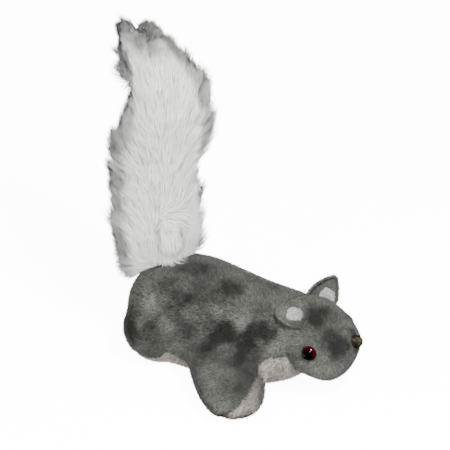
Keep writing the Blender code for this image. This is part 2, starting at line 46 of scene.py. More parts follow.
# Body, from the rump to the throat: share of length, of half width, bottom and top of the height
bodySize = {"rump": 72 * mm, "length": 180 * mm, "width": 94 * mm, "height": 89 * mm,
            "squareness": 2.6, "haunchLength": 66 * mm, "haunchSet": 3.5 * mm,
            "haunchBulge": 5 * mm, "haunchHeight": 60 * mm, "pileDepth": 2.4 * mm,
            "voxel": 3 * mm, "smoothing": 14, "soleGap": 1.2 * mm, "pileGap": 1.6 * mm,
            "backSeam": 2.2 * mm, "backSeamDepth": 0.5 * mm, "seamFrom": 40 * mm}
bodyRows = [(0.004, 0.20, 0.36, 0.54), (0.020, 0.46, 0.22, 0.70), (0.060, 0.68, 0.09, 0.83),
            (0.120, 0.84, 0.02, 0.92), (0.210, 0.95, -0.02, 0.98), (0.340, 1.00, -0.04, 1.00),
            (0.500, 1.00, -0.04, 0.955), (0.640, 0.98, -0.03, 0.915), (0.760, 0.93, -0.01, 0.90),
            (0.850, 0.87, 0.05, 0.89), (0.930, 0.78, 0.13, 0.85), (0.975, 0.60, 0.23, 0.76),
            (0.996, 0.28, 0.38, 0.60)]

# Forelegs: share of length, of half width, of half thickness
legSize = {"shoulder": (28 * mm, 24 * mm, 33 * mm), "paw": (84 * mm, 95 * mm, 10 * mm),
           "width": 66 * mm, "thickness": 52 * mm, "squareness": 2.2}
legRows = [(0.00, 1.00, 1.00), (0.34, 1.00, 0.88), (0.60, 0.94, 0.70), (0.80, 0.82, 0.55),
           (0.92, 0.64, 0.44), (0.985, 0.34, 0.26)]

# Head, from the neck to the muzzle: columns as the body's
headSize = {"back": 73 * mm, "length": 75 * mm, "width": 70 * mm, "height": 67 * mm,
            "lift": 18 * mm, "squareness": 2.1, "pileDepth": 2.2 * mm, "voxel": 2.4 * mm,
            "smoothing": 6}
headRows = [(0.004, 0.22, 0.38, 0.62), (0.030, 0.46, 0.26, 0.75), (0.095, 0.71, 0.14, 0.87),
            (0.205, 0.91, 0.05, 0.95), (0.350, 1.00, 0.00, 0.98), (0.500, 1.02, -0.03, 0.95),
            (0.630, 0.98, -0.05, 0.88), (0.750, 0.88, -0.04, 0.79), (0.860, 0.70, 0.07, 0.705),
            (0.940, 0.46, 0.27, 0.635), (0.990, 0.20, 0.44, 0.58)]

# Tail: share of height, of half width, of half depth, and how far back as a share of width
tailSize = {"height": 255 * mm, "width": 89 * mm, "depth": 66 * mm, "foot": 57 * mm,
            "back": 52 * mm, "side": 4 * mm, "squareness": 2.1, "turn": radians(48),
            "seam": 0.06, "furDepth": 10.5 * mm, "voxel": 3.5 * mm, "smoothing": 14}
tailRows = [(0.000, 0.18, 0.16, 0.180), (0.035, 0.46, 0.42, 0.120), (0.080, 0.70, 0.66, 0.050),
            (0.135, 0.90, 0.86, -0.010), (0.190, 0.94, 0.92, 0.005), (0.300, 0.92, 0.94, 0.030),
            (0.430, 0.90, 0.96, 0.035), (0.510, 1.01, 1.00, -0.005), (0.575, 1.03, 1.00, -0.045),
            (0.640, 0.97, 0.96, -0.085), (0.705, 0.90, 0.92, -0.100), (0.765, 0.80, 0.86, -0.085),
            (0.830, 0.70, 0.76, 0.000), (0.885, 0.60, 0.64, 0.100), (0.930, 0.47, 0.48, 0.185),
            (0.950, 0.34, 0.36, 0.200), (0.965, 0.14, 0.16, 0.215)]

# The pale underside: share of the body's length, share of its height, and the seam on each leg
bellyRows = [(-0.05, 0.06), (0.07, 0.08), (0.20, 0.18), (0.29, 0.24), (0.37, 0.20), (0.46, 0.12),
             (0.62, 0.16), (0.80, 0.34), (0.92, 0.46), (1.10, 0.50)]
bellySeam = {"flank": 0.43, "legStart": 0.40, "tilt": radians(52), "set": 4 * mm, "sweep": 0.25,
             "middle": 0.65, "groove": 1.3 * mm, "grooveWidth": 2.4 * mm}


# A vector, or each vector of an array, scaled to length one.
def unit(v):
    v = np.asarray(v, float)
    return v / np.maximum(np.linalg.norm(v, axis=-1, keepdims=True), 1e-12)


# Rises smoothly from 0 at low to 1 at high: t * t * (3 - 2 t).
def ease(low, high, x):
    t = np.clip((x - low) / (high - low), 0, 1)
    return t * t * (3 - 2 * t)


# Rows read along a smooth curve: each span between two rows is a Catmull-Rom cubic.
def smoothRows(rows, steps=6):
    r = np.array(rows, float)
    p = np.vstack([r[:1], r, r[-1:]])
    t = (np.arange(steps) / steps)[:, None, None]
    a, b, c, d = p[:-3], p[1:-2], p[2:-1], p[3:]
    span = 0.5 * (2 * b + (c - a) * t + (2 * a - 5 * b + 4 * c - d) * t ** 2
                  + (3 * b - a - 3 * c + d) * t ** 3)
    return np.vstack([span.transpose(1, 0, 2).reshape(-1, r.shape[1]), r[-1:]])


# Value noise: random numbers on a lattice, blended smoothly between its corners, from -1 to 1.
# The number of a corner is a hash of its place: products with large primes, mixed by shifts.
def lumps(points, size, seed):
    q = np.asarray(points) / size + seed * 17.3
    cell = np.floor(q).astype(np.int64)
    t = ease(0, 1, q - cell)
    primes, seedPrime, mixer = np.array([374761393, 668265263, 2147483647]), 1274126177, 1103515245
    total = 0.0
    for corner in np.ndindex(2, 2, 2):
        h = ((cell + np.array(corner)) * primes).sum(1) + seed * seedPrime
        h = (h ^ (h >> 13)) * mixer
        h = ((h ^ (h >> 16)) & 0xFFFF) / 32767.5 - 1
        total = total + h * np.prod(np.where(corner, t, 1 - t), axis=1)
    return total


# A mesh from points and arrays of faces, each array with its own number of corners.
def meshFrom(name, points, *faceSets):
    mesh = bpy.data.meshes.new(name)
    faceSets = [f for f in faceSets if len(f)]
    sizes = np.concatenate([np.full(len(f), f.shape[1]) for f in faceSets])
    corners = np.concatenate([f.ravel() for f in faceSets]).astype(np.int32)
    mesh.vertices.add(len(points))
    mesh.vertices.foreach_set("co", np.asarray(points, np.float32).ravel())
    mesh.loops.add(len(corners))
    mesh.loops.foreach_set("vertex_index", corners)
    mesh.polygons.add(len(sizes))
    starts = np.concatenate([[0], np.cumsum(sizes)[:-1]]).astype(np.int32)
    mesh.polygons.foreach_set("loop_start", starts)
    mesh.polygons.foreach_set("use_smooth", np.ones(len(sizes), bool))
    mesh.update(calc_edges=True)
    return mesh


# One property of every item in a mesh's list, as an array with `width` numbers to a row.
def readAll(items, name, width=1, kind=np.float32):
    numbers = np.empty(len(items) * width, kind)
    items.foreach_get(name, numbers)
    return numbers.reshape(-1, width) if width > 1 else numbers


# Where the corners of a mesh are, and which way the surface faces there.
def readMesh(mesh):
    return (readAll(mesh.vertices, "co", 3).astype(float),
            readAll(mesh.vertex_normals, "vector", 3).astype(float))


def readTriangles(mesh):
    mesh.calc_loop_triangles()
    return readAll(mesh.loop_triangles, "vertices", 3, np.int32)


# The corners of a mesh moved to new places.
def moveTo(mesh, points):
    mesh.vertices.foreach_set("co", points.astype(np.float32).ravel())
    mesh.update()


# One number for each corner of the mesh, which a material reads by its name.
def giveValues(mesh, **values):
    for name, numbers in values.items():
        layer = mesh.attributes.new(name, "FLOAT", "POINT")
        layer.data.foreach_set("value", np.asarray(numbers, np.float32))


def addObject(name, data):
    made = bpy.data.objects.new(name, data)
    scene.collection.objects.link(made)
    return made


# A piece of the toy, which rides on its one body.
def placed(name, mesh, *materials):
    piece = addObject(name, mesh)
    for material in materials:
        mesh.materials.append(material)
    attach(piece, "root")
    return piece


# Quads between the rows of a closed tube of points, and a fan to a middle point at each end.
def tubeParts(grid):
    rows, around = grid.shape[:2]
    points = np.vstack([grid.reshape(-1, 3), grid[0].mean(0), grid[-1].mean(0)])
    here = np.arange(rows * around).reshape(rows, around)
    beside = np.roll(here, -1, axis=1)
    quads = np.stack([here[:-1], beside[:-1], beside[1:], here[1:]], axis=-1).reshape(-1, 4)
    first, last = (np.full(around, rows * around + k) for k in (0, 1))
    start = np.stack([beside[0], here[0], first], axis=-1)
    end = np.stack([here[-1], beside[-1], last], axis=-1)
    return points, quads, np.vstack([start, end])


# Angles evenly round a circle.
def roundTurn(count):
    return np.linspace(0, 2 * np.pi, count, endpoint=False)


# |x|^power with the sign of x, which makes a circle squarer or more pointed.
def signedPower(x, power):
    return np.sign(x) * np.abs(x) ** power


# A limb is a run of superellipses. Its rows give the share of the run, both half sizes and
# how far the middle is moved along `lean`.
def limb(start, run, across, upward, rows, power, lean=(0, 0, 1)):
    return {"start": np.array(start, float), "run": np.array(run, float),
            "across": unit(across), "upward": unit(upward), "rows": np.array(rows, float),
            "power": power, "lean": np.array(lean, float)}


# A limb's rows from its columns. Its middle isn't moved unless shift says so.
def limbRows(share, wide, high, shift=0.0):
    return np.stack([share, wide, high, shift + 0 * share], axis=1)


# Both half sizes of a limb at shares of its run, and how far its middle is moved there.
def rowsAt(shape, share):
    rows = shape["rows"]
    return [np.interp(share, rows[:, 0], rows[:, k]) for k in (1, 2, 3)]


# A limb's middle line: start + share * run + shift * lean.
def middleAt(shape, share, shift):
    share, shift = np.asarray(share)[..., None], np.asarray(shift)[..., None]
    return shape["start"] + share * shape["run"] + shift * shape["lean"]


# The limb's surface at a depth: middle + across * a * cos^(2/k) + upward * b * sin^(2/k).
def limbGrid(shape, inset=0.0, around=48):
    share, wide, high, shift = shape["rows"].T
    length = np.linalg.norm(shape["run"])
    share = share * (1 - 2 * inset / length) + inset / length
    turn, power, thinnest = roundTurn(around), 2 / shape["power"], 0.4 * mm
    x, y = signedPower(np.cos(turn), power), signedPower(np.sin(turn), power)
    wide, high = (np.maximum(half - inset, thinnest)[:, None, None] for half in (wide, high))
    return (middleAt(shape, share, shift)[:, None] + shape["across"] * wide * x[None, :, None]
            + shape["upward"] * high * y[None, :, None])


# How far out each point is in a limb: 0 on its middle line, 1 on its surface, 9 past its ends.
def limbFill(shape, points):
    run, power, ends = shape["run"], shape["power"], shape["rows"][[0, -1], 0]
    share = (points - shape["start"]) @ run / (run @ run)
    wide, high, shift = rowsAt(shape, share)
    middle = middleAt(shape, share, shift)
    off = points - middle
    across, upward = np.abs(off @ shape["across"]) / wide, np.abs(off @ shape["upward"]) / high
    fill = (across ** power + upward ** power) ** (1 / power)
    return np.where((share < ends[0]) | (share > ends[1]), 9.0, fill), middle


# The same for whichever of several limbs holds each point deepest.
def leastFill(limbs, points):
    return np.min([limbFill(part, points)[0] for part in limbs], axis=0)


print("shapes: torso, haunches, forelegs, head, tail")


# Rows of width, bottom and top as a limb's: its middle is halfway between bottom and top.
def heightRows(rows, size):
    share, width, bottom, top = smoothRows(rows).T
    return limbRows(share, width * size["width"] / 2, (top - bottom) * size["height"] / 2,
                    (top + bottom) * size["height"] / 2)


torso = limb((-bodySize["rump"], 0, 0), (bodySize["length"], 0, 0), (0, 1, 0), (0, 0, 1),
             heightRows(bodyRows, bodySize), bodySize["squareness"])
headLimb = limb((headSize["back"], 0, headSize["lift"]), (headSize["length"], 0, 0), (0, 1, 0),
                (0, 0, 1), heightRows(headRows, headSize), headSize["squareness"])
tailFront = np.array([sin(tailSize["turn"]), -cos(tailSize["turn"]), 0])
tailAcross = np.array([cos(tailSize["turn"]), sin(tailSize["turn"]), 0])
share, wide, deep, back = smoothRows(tailRows).T
tailLimb = limb((-tailSize["back"], tailSize["side"], tailSize["foot"]), (0, 0, tailSize["height"]),
                tailAcross, tailFront,
                limbRows(share, wide * tailSize["width"] / 2, deep * tailSize["depth"] / 2,
                         back * tailSize["width"]), tailSize["squareness"], (-1, 0, 0))


# The shoulder, the run to the paw, and unit vectors across and through a foreleg.
def legAxes(side):
    flip = np.array([1, side, 1])
    shoulder = np.array(legSize["shoulder"]) * flip
    run = np.array(legSize["paw"]) * flip - shoulder
    across = unit(np.cross(run, (0, 0, 1)))
    return shoulder, run, across, unit(np.cross(across, run))


# Rows of an ellipsoid: half sizes follow the sine of the angle along it, and the share its cosine.
def roundRows(wide, high, ends, count):
    angle = np.linspace(ends, np.pi - ends, count)
    return limbRows((1 - np.cos(angle)) / 2, wide * np.sin(angle), high * np.sin(angle))


# The thigh is an ellipsoid at the side of the rump.
def haunchLimb(side):
    out = bodySize["width"] / 4 + bodySize["haunchBulge"]
    start = (bodySize["haunchSet"] - bodySize["rump"], side * bodySize["width"] / 4,
             bodySize["haunchHeight"] / 2)
    return limb(start, (bodySize["haunchLength"], 0, 0), (0, 1, 0), (0, 0, 1),
                roundRows(out, bodySize["haunchHeight"] / 2, 0.03, 24), 2)


# A foreleg runs from the shoulder to the paw, with half sizes from legRows.
def legLimb(side):
    shoulder, run, across, through = legAxes(side)
    share, wide, thick = smoothRows(legRows).T
    rows = limbRows(share, wide * legSize["width"] / 2, thick * legSize["thickness"] / 2)
    return limb(shoulder, run, across, through, rows, legSize["squareness"])


bodyLimbs = [torso] + [make(side) for make in (haunchLimb, legLimb) for side in (-1, 1)]


# How far each point is inside the pale underside, in metres, and negative on the grey panels.
def bellySide(points):
    x, y, z = points.T
    rows = smoothRows(bellyRows)
    share = (x + bodySize["rump"]) / bodySize["length"]
    top = np.interp(share, rows[:, 0], rows[:, 1]) * bodySize["height"]
    best = np.minimum(top - z, bellySeam["flank"] * bodySize["width"] - np.abs(y))
    for side in (-1, 1):
        shoulder, run, across, through = legAxes(side)
        ahead = across if across[0] > 0 else -across
        pale = ahead * cos(bellySeam["tilt"]) - through * sin(bellySeam["tilt"])
        normal = unit(pale + unit(run) * bellySeam["sweep"])
        seam = shoulder + run * bellySeam["middle"] + pale * bellySeam["set"]
        legPart = np.minimum((points - seam) @ normal,
                             side * y - bellySeam["legStart"] * bodySize["width"])
        best = np.maximum(best, legPart)
    return best


# Closed tubes are welded into one skin of even squares, and its corners rounded as stuffing does.
def stuffedMesh(name, grids, voxel, rounds):
    parts, offset = [], 0
    for points, quads, fans in map(tubeParts, grids):
        parts.append((points, quads + offset, fans + offset))
        offset += len(points)
    form = addObject(name + "Form", meshFrom(name, *map(np.vstack, zip(*parts))))
    weld = form.modifiers.new("weld", "REMESH")
    weld.mode, weld.voxel_size = "VOXEL", voxel
    roundOff = form.modifiers.new("round", "SMOOTH")
    roundOff.factor, roundOff.iterations = 0.5, rounds
    graph = bpy.context.evaluated_depsgraph_get()
    mesh = bpy.data.meshes.new_from_object(form.evaluated_get(graph), depsgraph=graph)
    bpy.data.objects.remove(form)
    mesh.name = name
    mesh.polygons.foreach_set("use_smooth", np.ones(len(mesh.polygons), bool))
    return mesh


# Cloth under a little pressure for 20 frames. Corners with weight 1 in `held` stay put, and no
# corner moves further than `limit`. The result goes into the mesh, and no Cloth is left.
def puffed(mesh, held, pressure, limit, frames=20):
    form = addObject("puffing", mesh.copy())
    group = form.vertex_groups.new(name="held")
    for level in (0.25, 0.5, 0.75, 1.0):
        chosen = np.nonzero((held > level - 0.125) & (held <= level + 0.125))[0]
        group.add(chosen.tolist(), level, "REPLACE")
    cloth = form.modifiers.new("cloth", "CLOTH")
    cloth.settings.use_pressure = True
    cloth.settings.uniform_pressure_force = pressure
    cloth.settings.vertex_group_mass = "held"
    cloth.settings.effector_weights.gravity = 0
    cloth.settings.quality = 4
    cloth.collision_settings.use_collision = False
    cloth.point_cache.frame_start, cloth.point_cache.frame_end = 1, frames
    for step in range(1, frames + 1):
        scene.frame_set(step)
    graph = bpy.context.evaluated_depsgraph_get()
    after, _ = readMesh(form.evaluated_get(graph).to_mesh())
    before, _ = readMesh(mesh)
    move = after - before
    far = np.linalg.norm(move, axis=1, keepdims=True)
    moveTo(mesh, before + move * np.minimum(1, limit / np.maximum(far, 1e-9)))
    bpy.data.objects.remove(form)
    scene.frame_set(1)


# Points spread evenly over a mesh: triangles are drawn by area, then a point in each.
def scatter(mesh, count, rng):
    points, normals = readMesh(mesh)
    tri = readTriangles(mesh)
    a, b, c = points[tri].transpose(1, 0, 2)
    total = np.cumsum(np.linalg.norm(np.cross(b - a, c - a), axis=1))
    pick = np.searchsorted(total, (np.arange(count) + rng.random(count)) / count * total[-1])
    pick = tri[np.minimum(pick, len(tri) - 1)]
    r, s = np.sqrt(rng.random(count))[:, None], rng.random(count)[:, None]
    mix = np.concatenate([1 - r, r * (1 - s), r * s], axis=1)[:, :, None]
    return (points[pick] * mix).sum(1), unit((normals[pick] * mix).sum(1))


# A direction laid flat on the skin, then turned about the normal by an angle.
def laidFlat(direction, normals, turn):
    flat = unit(direction - (direction * normals).sum(1, keepdims=True) * normals)
    return flat * np.cos(turn)[:, None] + np.cross(normals, flat) * np.sin(turn)[:, None]


# The line of each strand: root + length * (normal * (rise s - droop s^2) + comb * (slide s +
# sweep s^2)), for s from 0 at the root to 1 at the tip.
def strandPaths(roots, normals, comb, length, steps, bend):
    s = (np.arange(steps + 1) / steps)[None, :, None]
    rise, droop, slide, sweep = bend
    up = normals[:, None] * (rise * s - droop * s ** 2)
    along = comb[:, None] * (slide * s + sweep * s ** 2)
    return roots[:, None] + length[:, None, None] * (up + along)


# Values of a strand's rings given to its corners: two at each ring, and one at the tip.
def perCorner(rings):
    return np.concatenate([np.repeat(rings[:, :-1], 2, axis=1), rings[:, -1:]], axis=1)


# Strands as ribbons that narrow to a point. Each ribbon faces away from the skin, and its
# shading leans on the skin's own normal by `soften`. Each has its own cell in the UV map.
def strandMesh(name, paths, normals, comb, width, soften, shown=None, **values):
    count, rings = paths.shape[:2]
    steps = rings - 1
    s = np.arange(steps) / steps
    across = unit(np.cross(normals, comb))[:, None]
    side = across * (width[:, None] / 2 * (1 - 0.75 * s ** 2))[:, :, None]
    pairs = np.stack([paths[:, :-1] + side, paths[:, :-1] - side], axis=2).reshape(count, -1, 3)
    points = np.concatenate([pairs, paths[:, -1:]], axis=1)
    each = 2 * steps + 1
    first = (np.arange(count) * each)[:, None]
    quads = [first + np.array([[2 * k, 2 * k + 1, 2 * k + 3, 2 * k + 2]]) for k in range(steps - 1)]
    quads = np.concatenate(quads) if quads else np.empty((0, 4), int)
    tips = first + np.array([[2 * steps - 2, 2 * steps - 1, 2 * steps]])
    mesh = meshFrom(name, points.reshape(-1, 3), quads, tips)
    outward = unit(np.cross(unit(np.gradient(paths, axis=1)), across))
    lean = (normals if shown is None else shown)[:, None]
    shade = perCorner(unit(lean * soften + outward * (1 - soften)))
    mesh.normals_split_custom_set_from_vertices(shade.reshape(-1, 3).tolist())
    cells = int(np.ceil(np.sqrt(count)))
    cell = np.stack([np.arange(count) % cells, np.arange(count) // cells], axis=1)
    spot = [(0.15 + 0.7 * edge, 0.1 + 0.8 * k / steps) for k in range(steps) for edge in (0, 1)]
    spot = np.array(spot + [(0.5, 0.9)])
    uv = ((cell[:, None] + spot[None]) / cells).reshape(-1, 2)
    loops = readAll(mesh.loops, "vertex_index", kind=np.int32)
    layer = mesh.uv_layers.new(name="OFBake")
    layer.data.foreach_set("uv", uv[loops].astype(np.float32).ravel())
    rise = np.concatenate([np.repeat(s, 2), [1.0]])
    values = {k: np.repeat(v, each) if v.ndim == 1 else v.ravel() for k, v in values.items()}
    giveValues(mesh, rise=np.tile(rise, count), **values)
    return mesh


# The chosen roots, in order along the skin, so that neighbours lie near each other in the UV map.
def inOrder(roots, normals, chosen, strip=4 * mm):
    roots, normals = roots[chosen], normals[chosen]
    order = np.lexsort((roots[:, 2], np.round(roots[:, 1] / strip), np.round(roots[:, 0] / strip)))
    return roots[order], normals[order]


# Inputs by their names, or by number as i0, i1 and so on: each a value or another's output.
def setInputs(tree, node, **inputs):
    for name, value in inputs.items():
        numbered = name[0] == "i" and name[1:].isdigit()
        socket = node.inputs[int(name[1:]) if numbered else name.replace("_", " ")]
        if isinstance(value, bpy.types.NodeSocket):
            tree.links.new(value, socket)
        else:
            socket.default_value = value


def addNode(tree, kind, settings=None, **inputs):
    node = tree.nodes.new("ShaderNode" + kind)
    for name, value in (settings or {}).items():
        setattr(node, name, value)
    setInputs(tree, node, **inputs)
    return node


# The result of a Math node.
def maths(tree, operation, *values):
    inputs = {f"i{k}": value for k, value in enumerate(values)}
    return addNode(tree, "Math", {"operation": operation}, **inputs).outputs[0]


# A colour between two, at a share from 0 to 1.
def mixed(tree, share, first, second):
    return addNode(tree, "Mix", {"data_type": "RGBA"}, i0=share, i6=first, i7=second).outputs[2]


def scaled(tree, vector, factor):
    return addNode(tree, "VectorMath", {"operation": "SCALE"}, i0=vector, Scale=factor).outputs[0]


def ranged(tree, value, **ends):
    return addNode(tree, "MapRange", Value=value, **ends).outputs[0]


# Where a surface point is in the piece's own coordinates.
def objectPlace(tree):
    return addNode(tree, "TexCoord").outputs["Object"]


def noiseOn(tree, place, scale, detail=2.0):
    return addNode(tree, "TexNoise", Vector=place, Scale=scale, Detail=detail).outputs[0]


# A number that the mesh gives at each corner.
def attribute(tree, name):
    return addNode(tree, "Attribute", {"attribute_name": name}).outputs["Fac"]


def newMaterial(name):
    material = bpy.data.materials.new(name)
    material.use_nodes = True
    tree = material.node_tree
    return material, tree, tree.nodes["Principled BSDF"]


# Pile colour: a tone between a dark and a light colour, with painted shade towards the root, and a small
# difference from strand to strand.
def pileColourGroup():
    group = bpy.data.node_groups.new("pileColour", "ShaderNodeTree")
    face = group.interface
    for label, kind in (("Dark", "Color"), ("Light", "Color"), ("Tone", "Float"), ("Tint", "Float"),
                        ("Rise", "Float"), ("Root Shade", "Float"), ("Variety", "Float")):
        face.new_socket(name=label, in_out="INPUT", socket_type="NodeSocket" + kind)
    face.new_socket(name="Colour", in_out="OUTPUT", socket_type="NodeSocketColor")
    got = group.nodes.new("NodeGroupInput").outputs
    colour = mixed(group, got["Tone"], got["Dark"], got["Light"])
    # painted shade: the colour falls to Root Shade at the root of each strand
    root = ranged(group, got["Rise"], To_Min=got["Root Shade"], To_Max=1.0)
    spread = maths(group, "MULTIPLY_ADD", got["Tint"], got["Variety"], 1.0)
    shade = scaled(group, colour, maths(group, "MULTIPLY", root, spread))
    group.links.new(shade, group.nodes.new("NodeGroupOutput").inputs[0])
    return group


pileColour = pileColourGroup()


# The shading normal of a thin strand, the same from both of its sides.
def strandNormal(tree):
    geometry = addNode(tree, "NewGeometry").outputs
    flip = maths(tree, "MULTIPLY_ADD", geometry["Backfacing"], -2.0, 1.0)
    return scaled(tree, geometry["Normal"], flip)


# Pile or long fur. Strands read tone, tint and rise. A skin reads tone, and noise stands for tint.
def pileMaterial(name, colours, rootShade, variety, sheen, strands=True):
    material, tree, shader = newMaterial(name)
    dark, light = colours
    if strands:
        tint, rise, normal = attribute(tree, "tint"), attribute(tree, "rise"), strandNormal(tree)
    else:
        grain = noiseOn(tree, objectPlace(tree), 900.0, 3.0)
        # the skin under the pile counts as a quarter of the way up a strand, so it gets painted root
        # shade too
        tint, rise = ranged(tree, grain, To_Min=-1.0), 0.25
        normal = addNode(tree, "Bump", Height=grain, Strength=0.6, Distance=0.001).outputs[0]
    colour = addNode(tree, "Group", {"node_tree": pileColour}, Dark=(*dark, 1), Light=(*light, 1),
                     Tone=attribute(tree, "tone"), Tint=tint, Rise=rise, Root_Shade=rootShade,
                     Variety=variety)
    setInputs(tree, shader, Base_Color=colour.outputs[0], Normal=normal, Roughness=0.9,
              Specular_IOR_Level=0.25, Sheen_Weight=sheen, Sheen_Roughness=0.5)
    return material


print("materials")
pileColours = {"grey": ((0.006, 0.0065, 0.005), (0.125, 0.129, 0.112)),  # darkest and lightest
               "pale": ((0.07, 0.062, 0.055), (0.31, 0.283, 0.26)),
               "lining": ((0.06, 0.06, 0.055), (0.36, 0.37, 0.345)),
               "fur": ((0.03, 0.03, 0.027), (0.64, 0.64, 0.62))}
greyPile = pileMaterial("greyPile", pileColours["grey"], 0.6, 0.8, 0.12)
liningPlush = pileMaterial("liningPlush", pileColours["lining"], 0.6, 0.7, 0.05)
greySkin = pileMaterial("greySkin", pileColours["grey"], 0.6, 0.8, 0.12, strands=False)
palePile = pileMaterial("palePile", pileColours["pale"], 0.6, 0.7, 0.05)
paleSkin = pileMaterial("paleSkin", pileColours["pale"], 0.6, 0.7, 0.05, strands=False)
longFur = pileMaterial("longFur", pileColours["fur"], 0.82, 0.16, 0.06)
tailSkin = pileMaterial("tailSkin", pileColours["fur"], 0.80, 0.16, 0.06, strands=False)

# Patches: their middle and reach in millimetres, then how much darker or lighter.
# Partly the pile's own colour and partly painted light and shade from the lay of the pile: each patch is
# lighter or darker by its last number.
mottling = {
    "back": [(-8, -6, 88, 13, -0.28), (6, -1, 86, 10, -0.14), (-22, -13, 87, 8, -0.15),
             (31, -12, 82, 12, -0.32), (-21, -32, 80, 9, -0.15), (57, 16, 79, 9, -0.15),
             (54, -22, 78, 9, 0.04), (70, -14, 78, 10, 0.05), (-34, 20, 86, 12, -0.20),
             (39, 14, 81, 10, -0.15), (8, -20, 84, 11, -0.12),
             (69, 12, 79, 9, -0.12), (68, -21, 76, 9, -0.18)],
    "rump": [(-53, -43, 44, 13, -0.30), (-46, -49, 33, 10, -0.22), (-28, -49, 39, 9, -0.20),
             (-34, -41, 66, 10, 0.30), (-43, -31, 76, 8, 0.15), (-30, -44, 57, 6, 0.15),
             (-20, -48, 29, 8, -0.12), (-66, 8, 40, 12, -0.25), (-62, -12, 60, 11, 0.22)],
    "flank": [(-5, -39, 73, 11, -0.21), (8, -35, 76, 8, -0.18), (25, -29, 78, 9, -0.18),
              (-2, -45, 59, 7, -0.15), (7, -47, 49, 8, -0.22), (-12, -46, 48, 7, 0.20),
              (30, -38, 70, 7, 0.12), (27, -44, 60, 8, -0.15), (-1, -47, 32, 7, 0.25),
              (17, -61, 34, 7, 0.25), (31, -60, 45, 6, -0.18), (40, -45, 56, 9, -0.22),
              (49, -43, 59, 8, -0.18), (15, -31, 78, 9, -0.08)],
    "shoulder": [(34, -51, 50, 10, -0.28), (44, -45, 55, 9, -0.25), (60, -43, 53, 11, -0.30),
                 (70, -38, 63, 10, -0.30), (81, -36, 64, 9, -0.30), (67, -47, 43, 11, -0.28),
                 (61, -57, 42, 8, -0.20), (53, -36, 69, 8, 0.34), (58, -40, 63, 5, 0.20)],
    "leg": [(74, -63, 35, 9, -0.22), (79, -77, 29, 8, -0.22), (46, -77, 36, 11, 0.30),
            (56, -91, 27, 10, 0.34), (70, -98, 21, 10, 0.25), (60, -74, 36, 8, 0.15)],
    "neck": [(92, -36, 55, 9, 0.20), (86, -39, 48, 6, 0.20), (102, -32, 63, 10, 0.15),
             (93, -28, 76, 10, 0.20)],
    "head": [(114, -9, 79, 11, -0.25), (124, -14, 71, 9, -0.06), (134, -18, 61, 12, -0.25),
             (142, -14, 56, 8, -0.25), (140, -19, 52, 8, -0.15), (134, 8, 67, 6, 0.15),
             (130, -28, 34, 12, 0.25), (141, -18, 38, 8, 0.20), (115, -33, 38, 8, 0.20),
             (105, -24, 74, 7, -0.12), (115, -16, 80, 10, -0.26), (120, 1, 76, 8, -0.12),
             (133, -26, 53, 8, 0.10)],
    "farSide": [(-50, 44, 48, 13, 0.25), (-20, 45, 62, 12, -0.25), (4, 46, 40, 11, 0.22),
                (26, 40, 68, 10, -0.22), (48, 46, 54, 12, -0.28), (72, 38, 60, 11, -0.25),
                (58, 76, 34, 12, 0.25), (40, 62, 42, 9, -0.20), (78, 92, 20, 10, 0.20),
                (-36, 36, 74, 9, -0.20), (128, 22, 60, 11, -0.25), (112, 32, 48, 10, 0.20),
                (120, 30, 34, 10, -0.18)],
}


# Tone of the grey pile from 0 to 1: a middle grey, lumps of noise at three scales, and the patches, each
# of which fades with exp(-(distance / reach)^4). The patches are partly the pile's colour and partly
# painted light and shade from the lay of the pile.
def greyTone(points):
    wander = 3 * mm * np.stack([lumps(points, 9 * mm, k) for k in (31, 32, 33)], axis=1)
    tone = (0.345 + 0.07 * lumps(points, 15 * mm, 3) + 0.07 * lumps(points, 6 * mm, 5)
            + 0.09 * lumps(points, 2.0 * mm, 6))
    for patches in mottling.values():
        for x, y, z, reach, depth in patches:
            far = np.linalg.norm(points + wander - np.array([x, y, z]) * mm, axis=1) / (reach * mm)
            tone = tone + depth * np.exp(-far ** 4)
    return np.clip(tone, 0.01, 1)


# Tone of the pale pile: a little darker towards the throat, painted shade under the head, with lumps of
# noise at two scales.
def paleTone(points):
    tone = (0.74 - 0.14 * ease(-30 * mm, 100 * mm, points[:, 0])
            + 0.25 * lumps(points, 12 * mm, 8) + 0.18 * lumps(points, 3 * mm, 9))
    return np.clip(tone, 0, 1)


print("body")
pileLean = (0.72, 0.05, 0.45, 0.25)  # rise, droop, slide and sweep of a short strand
bodyPile = {"count": 150000, "length": 3.6 * mm, "width": 0.75 * mm, "lean": pileLean, "soften": 0.4}
skin = stuffedMesh("bodySkin", [limbGrid(part, bodySize["pileDepth"] * 0.8) for part in bodyLimbs],
                   bodySize["voxel"], bodySize["smoothing"])
at, _ = readMesh(skin)
seamNear = np.exp(-(bellySide(at) / bellySeam["grooveWidth"]) ** 2)
backSeam = np.exp(-(at[:, 1] / bodySize["backSeam"]) ** 2) * (at[:, 2] > bodySize["seamFrom"])
at[:, 2] = np.maximum(at[:, 2], bodySize["soleGap"])
moveTo(skin, at)
onFloor = (at[:, 2] < 2 * mm) * 1.0
puffed(skin, np.clip(np.maximum(seamNear, onFloor), 0, 1), 4.0, 2.0 * mm)
at, facing = readMesh(skin)
at = at - facing * (bellySeam["groove"] * seamNear + bodySize["backSeamDepth"] * backSeam)[:, None]
at[:, 2] = np.maximum(at[:, 2], bodySize["soleGap"])
moveTo(skin, at)
giveValues(skin, tone=np.where(bellySide(at) > 0, paleTone(at), greyTone(at)))
bodySkin = placed("bodySkin", skin, greySkin, paleSkin)
middles = readAll(skin.polygons, "center", 3).astype(float)
skin.polygons.foreach_set("material_index", (bellySide(middles) > 0).astype(np.int32))
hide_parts("side_panel_left", "side_panel_right", "belly_gusset", "body_stuffing")

rng = np.random.default_rng(11)
roots, normals = scatter(skin, bodyPile["count"] // thinning, rng)
keep = (leastFill([headLimb], roots) > 0.96) & (roots[:, 2] > bodySize["pileGap"])
roots, normals = inOrder(roots, normals, keep)
belly = bellySide(roots) + 1.5 * mm  # the grey pile leans over the seam


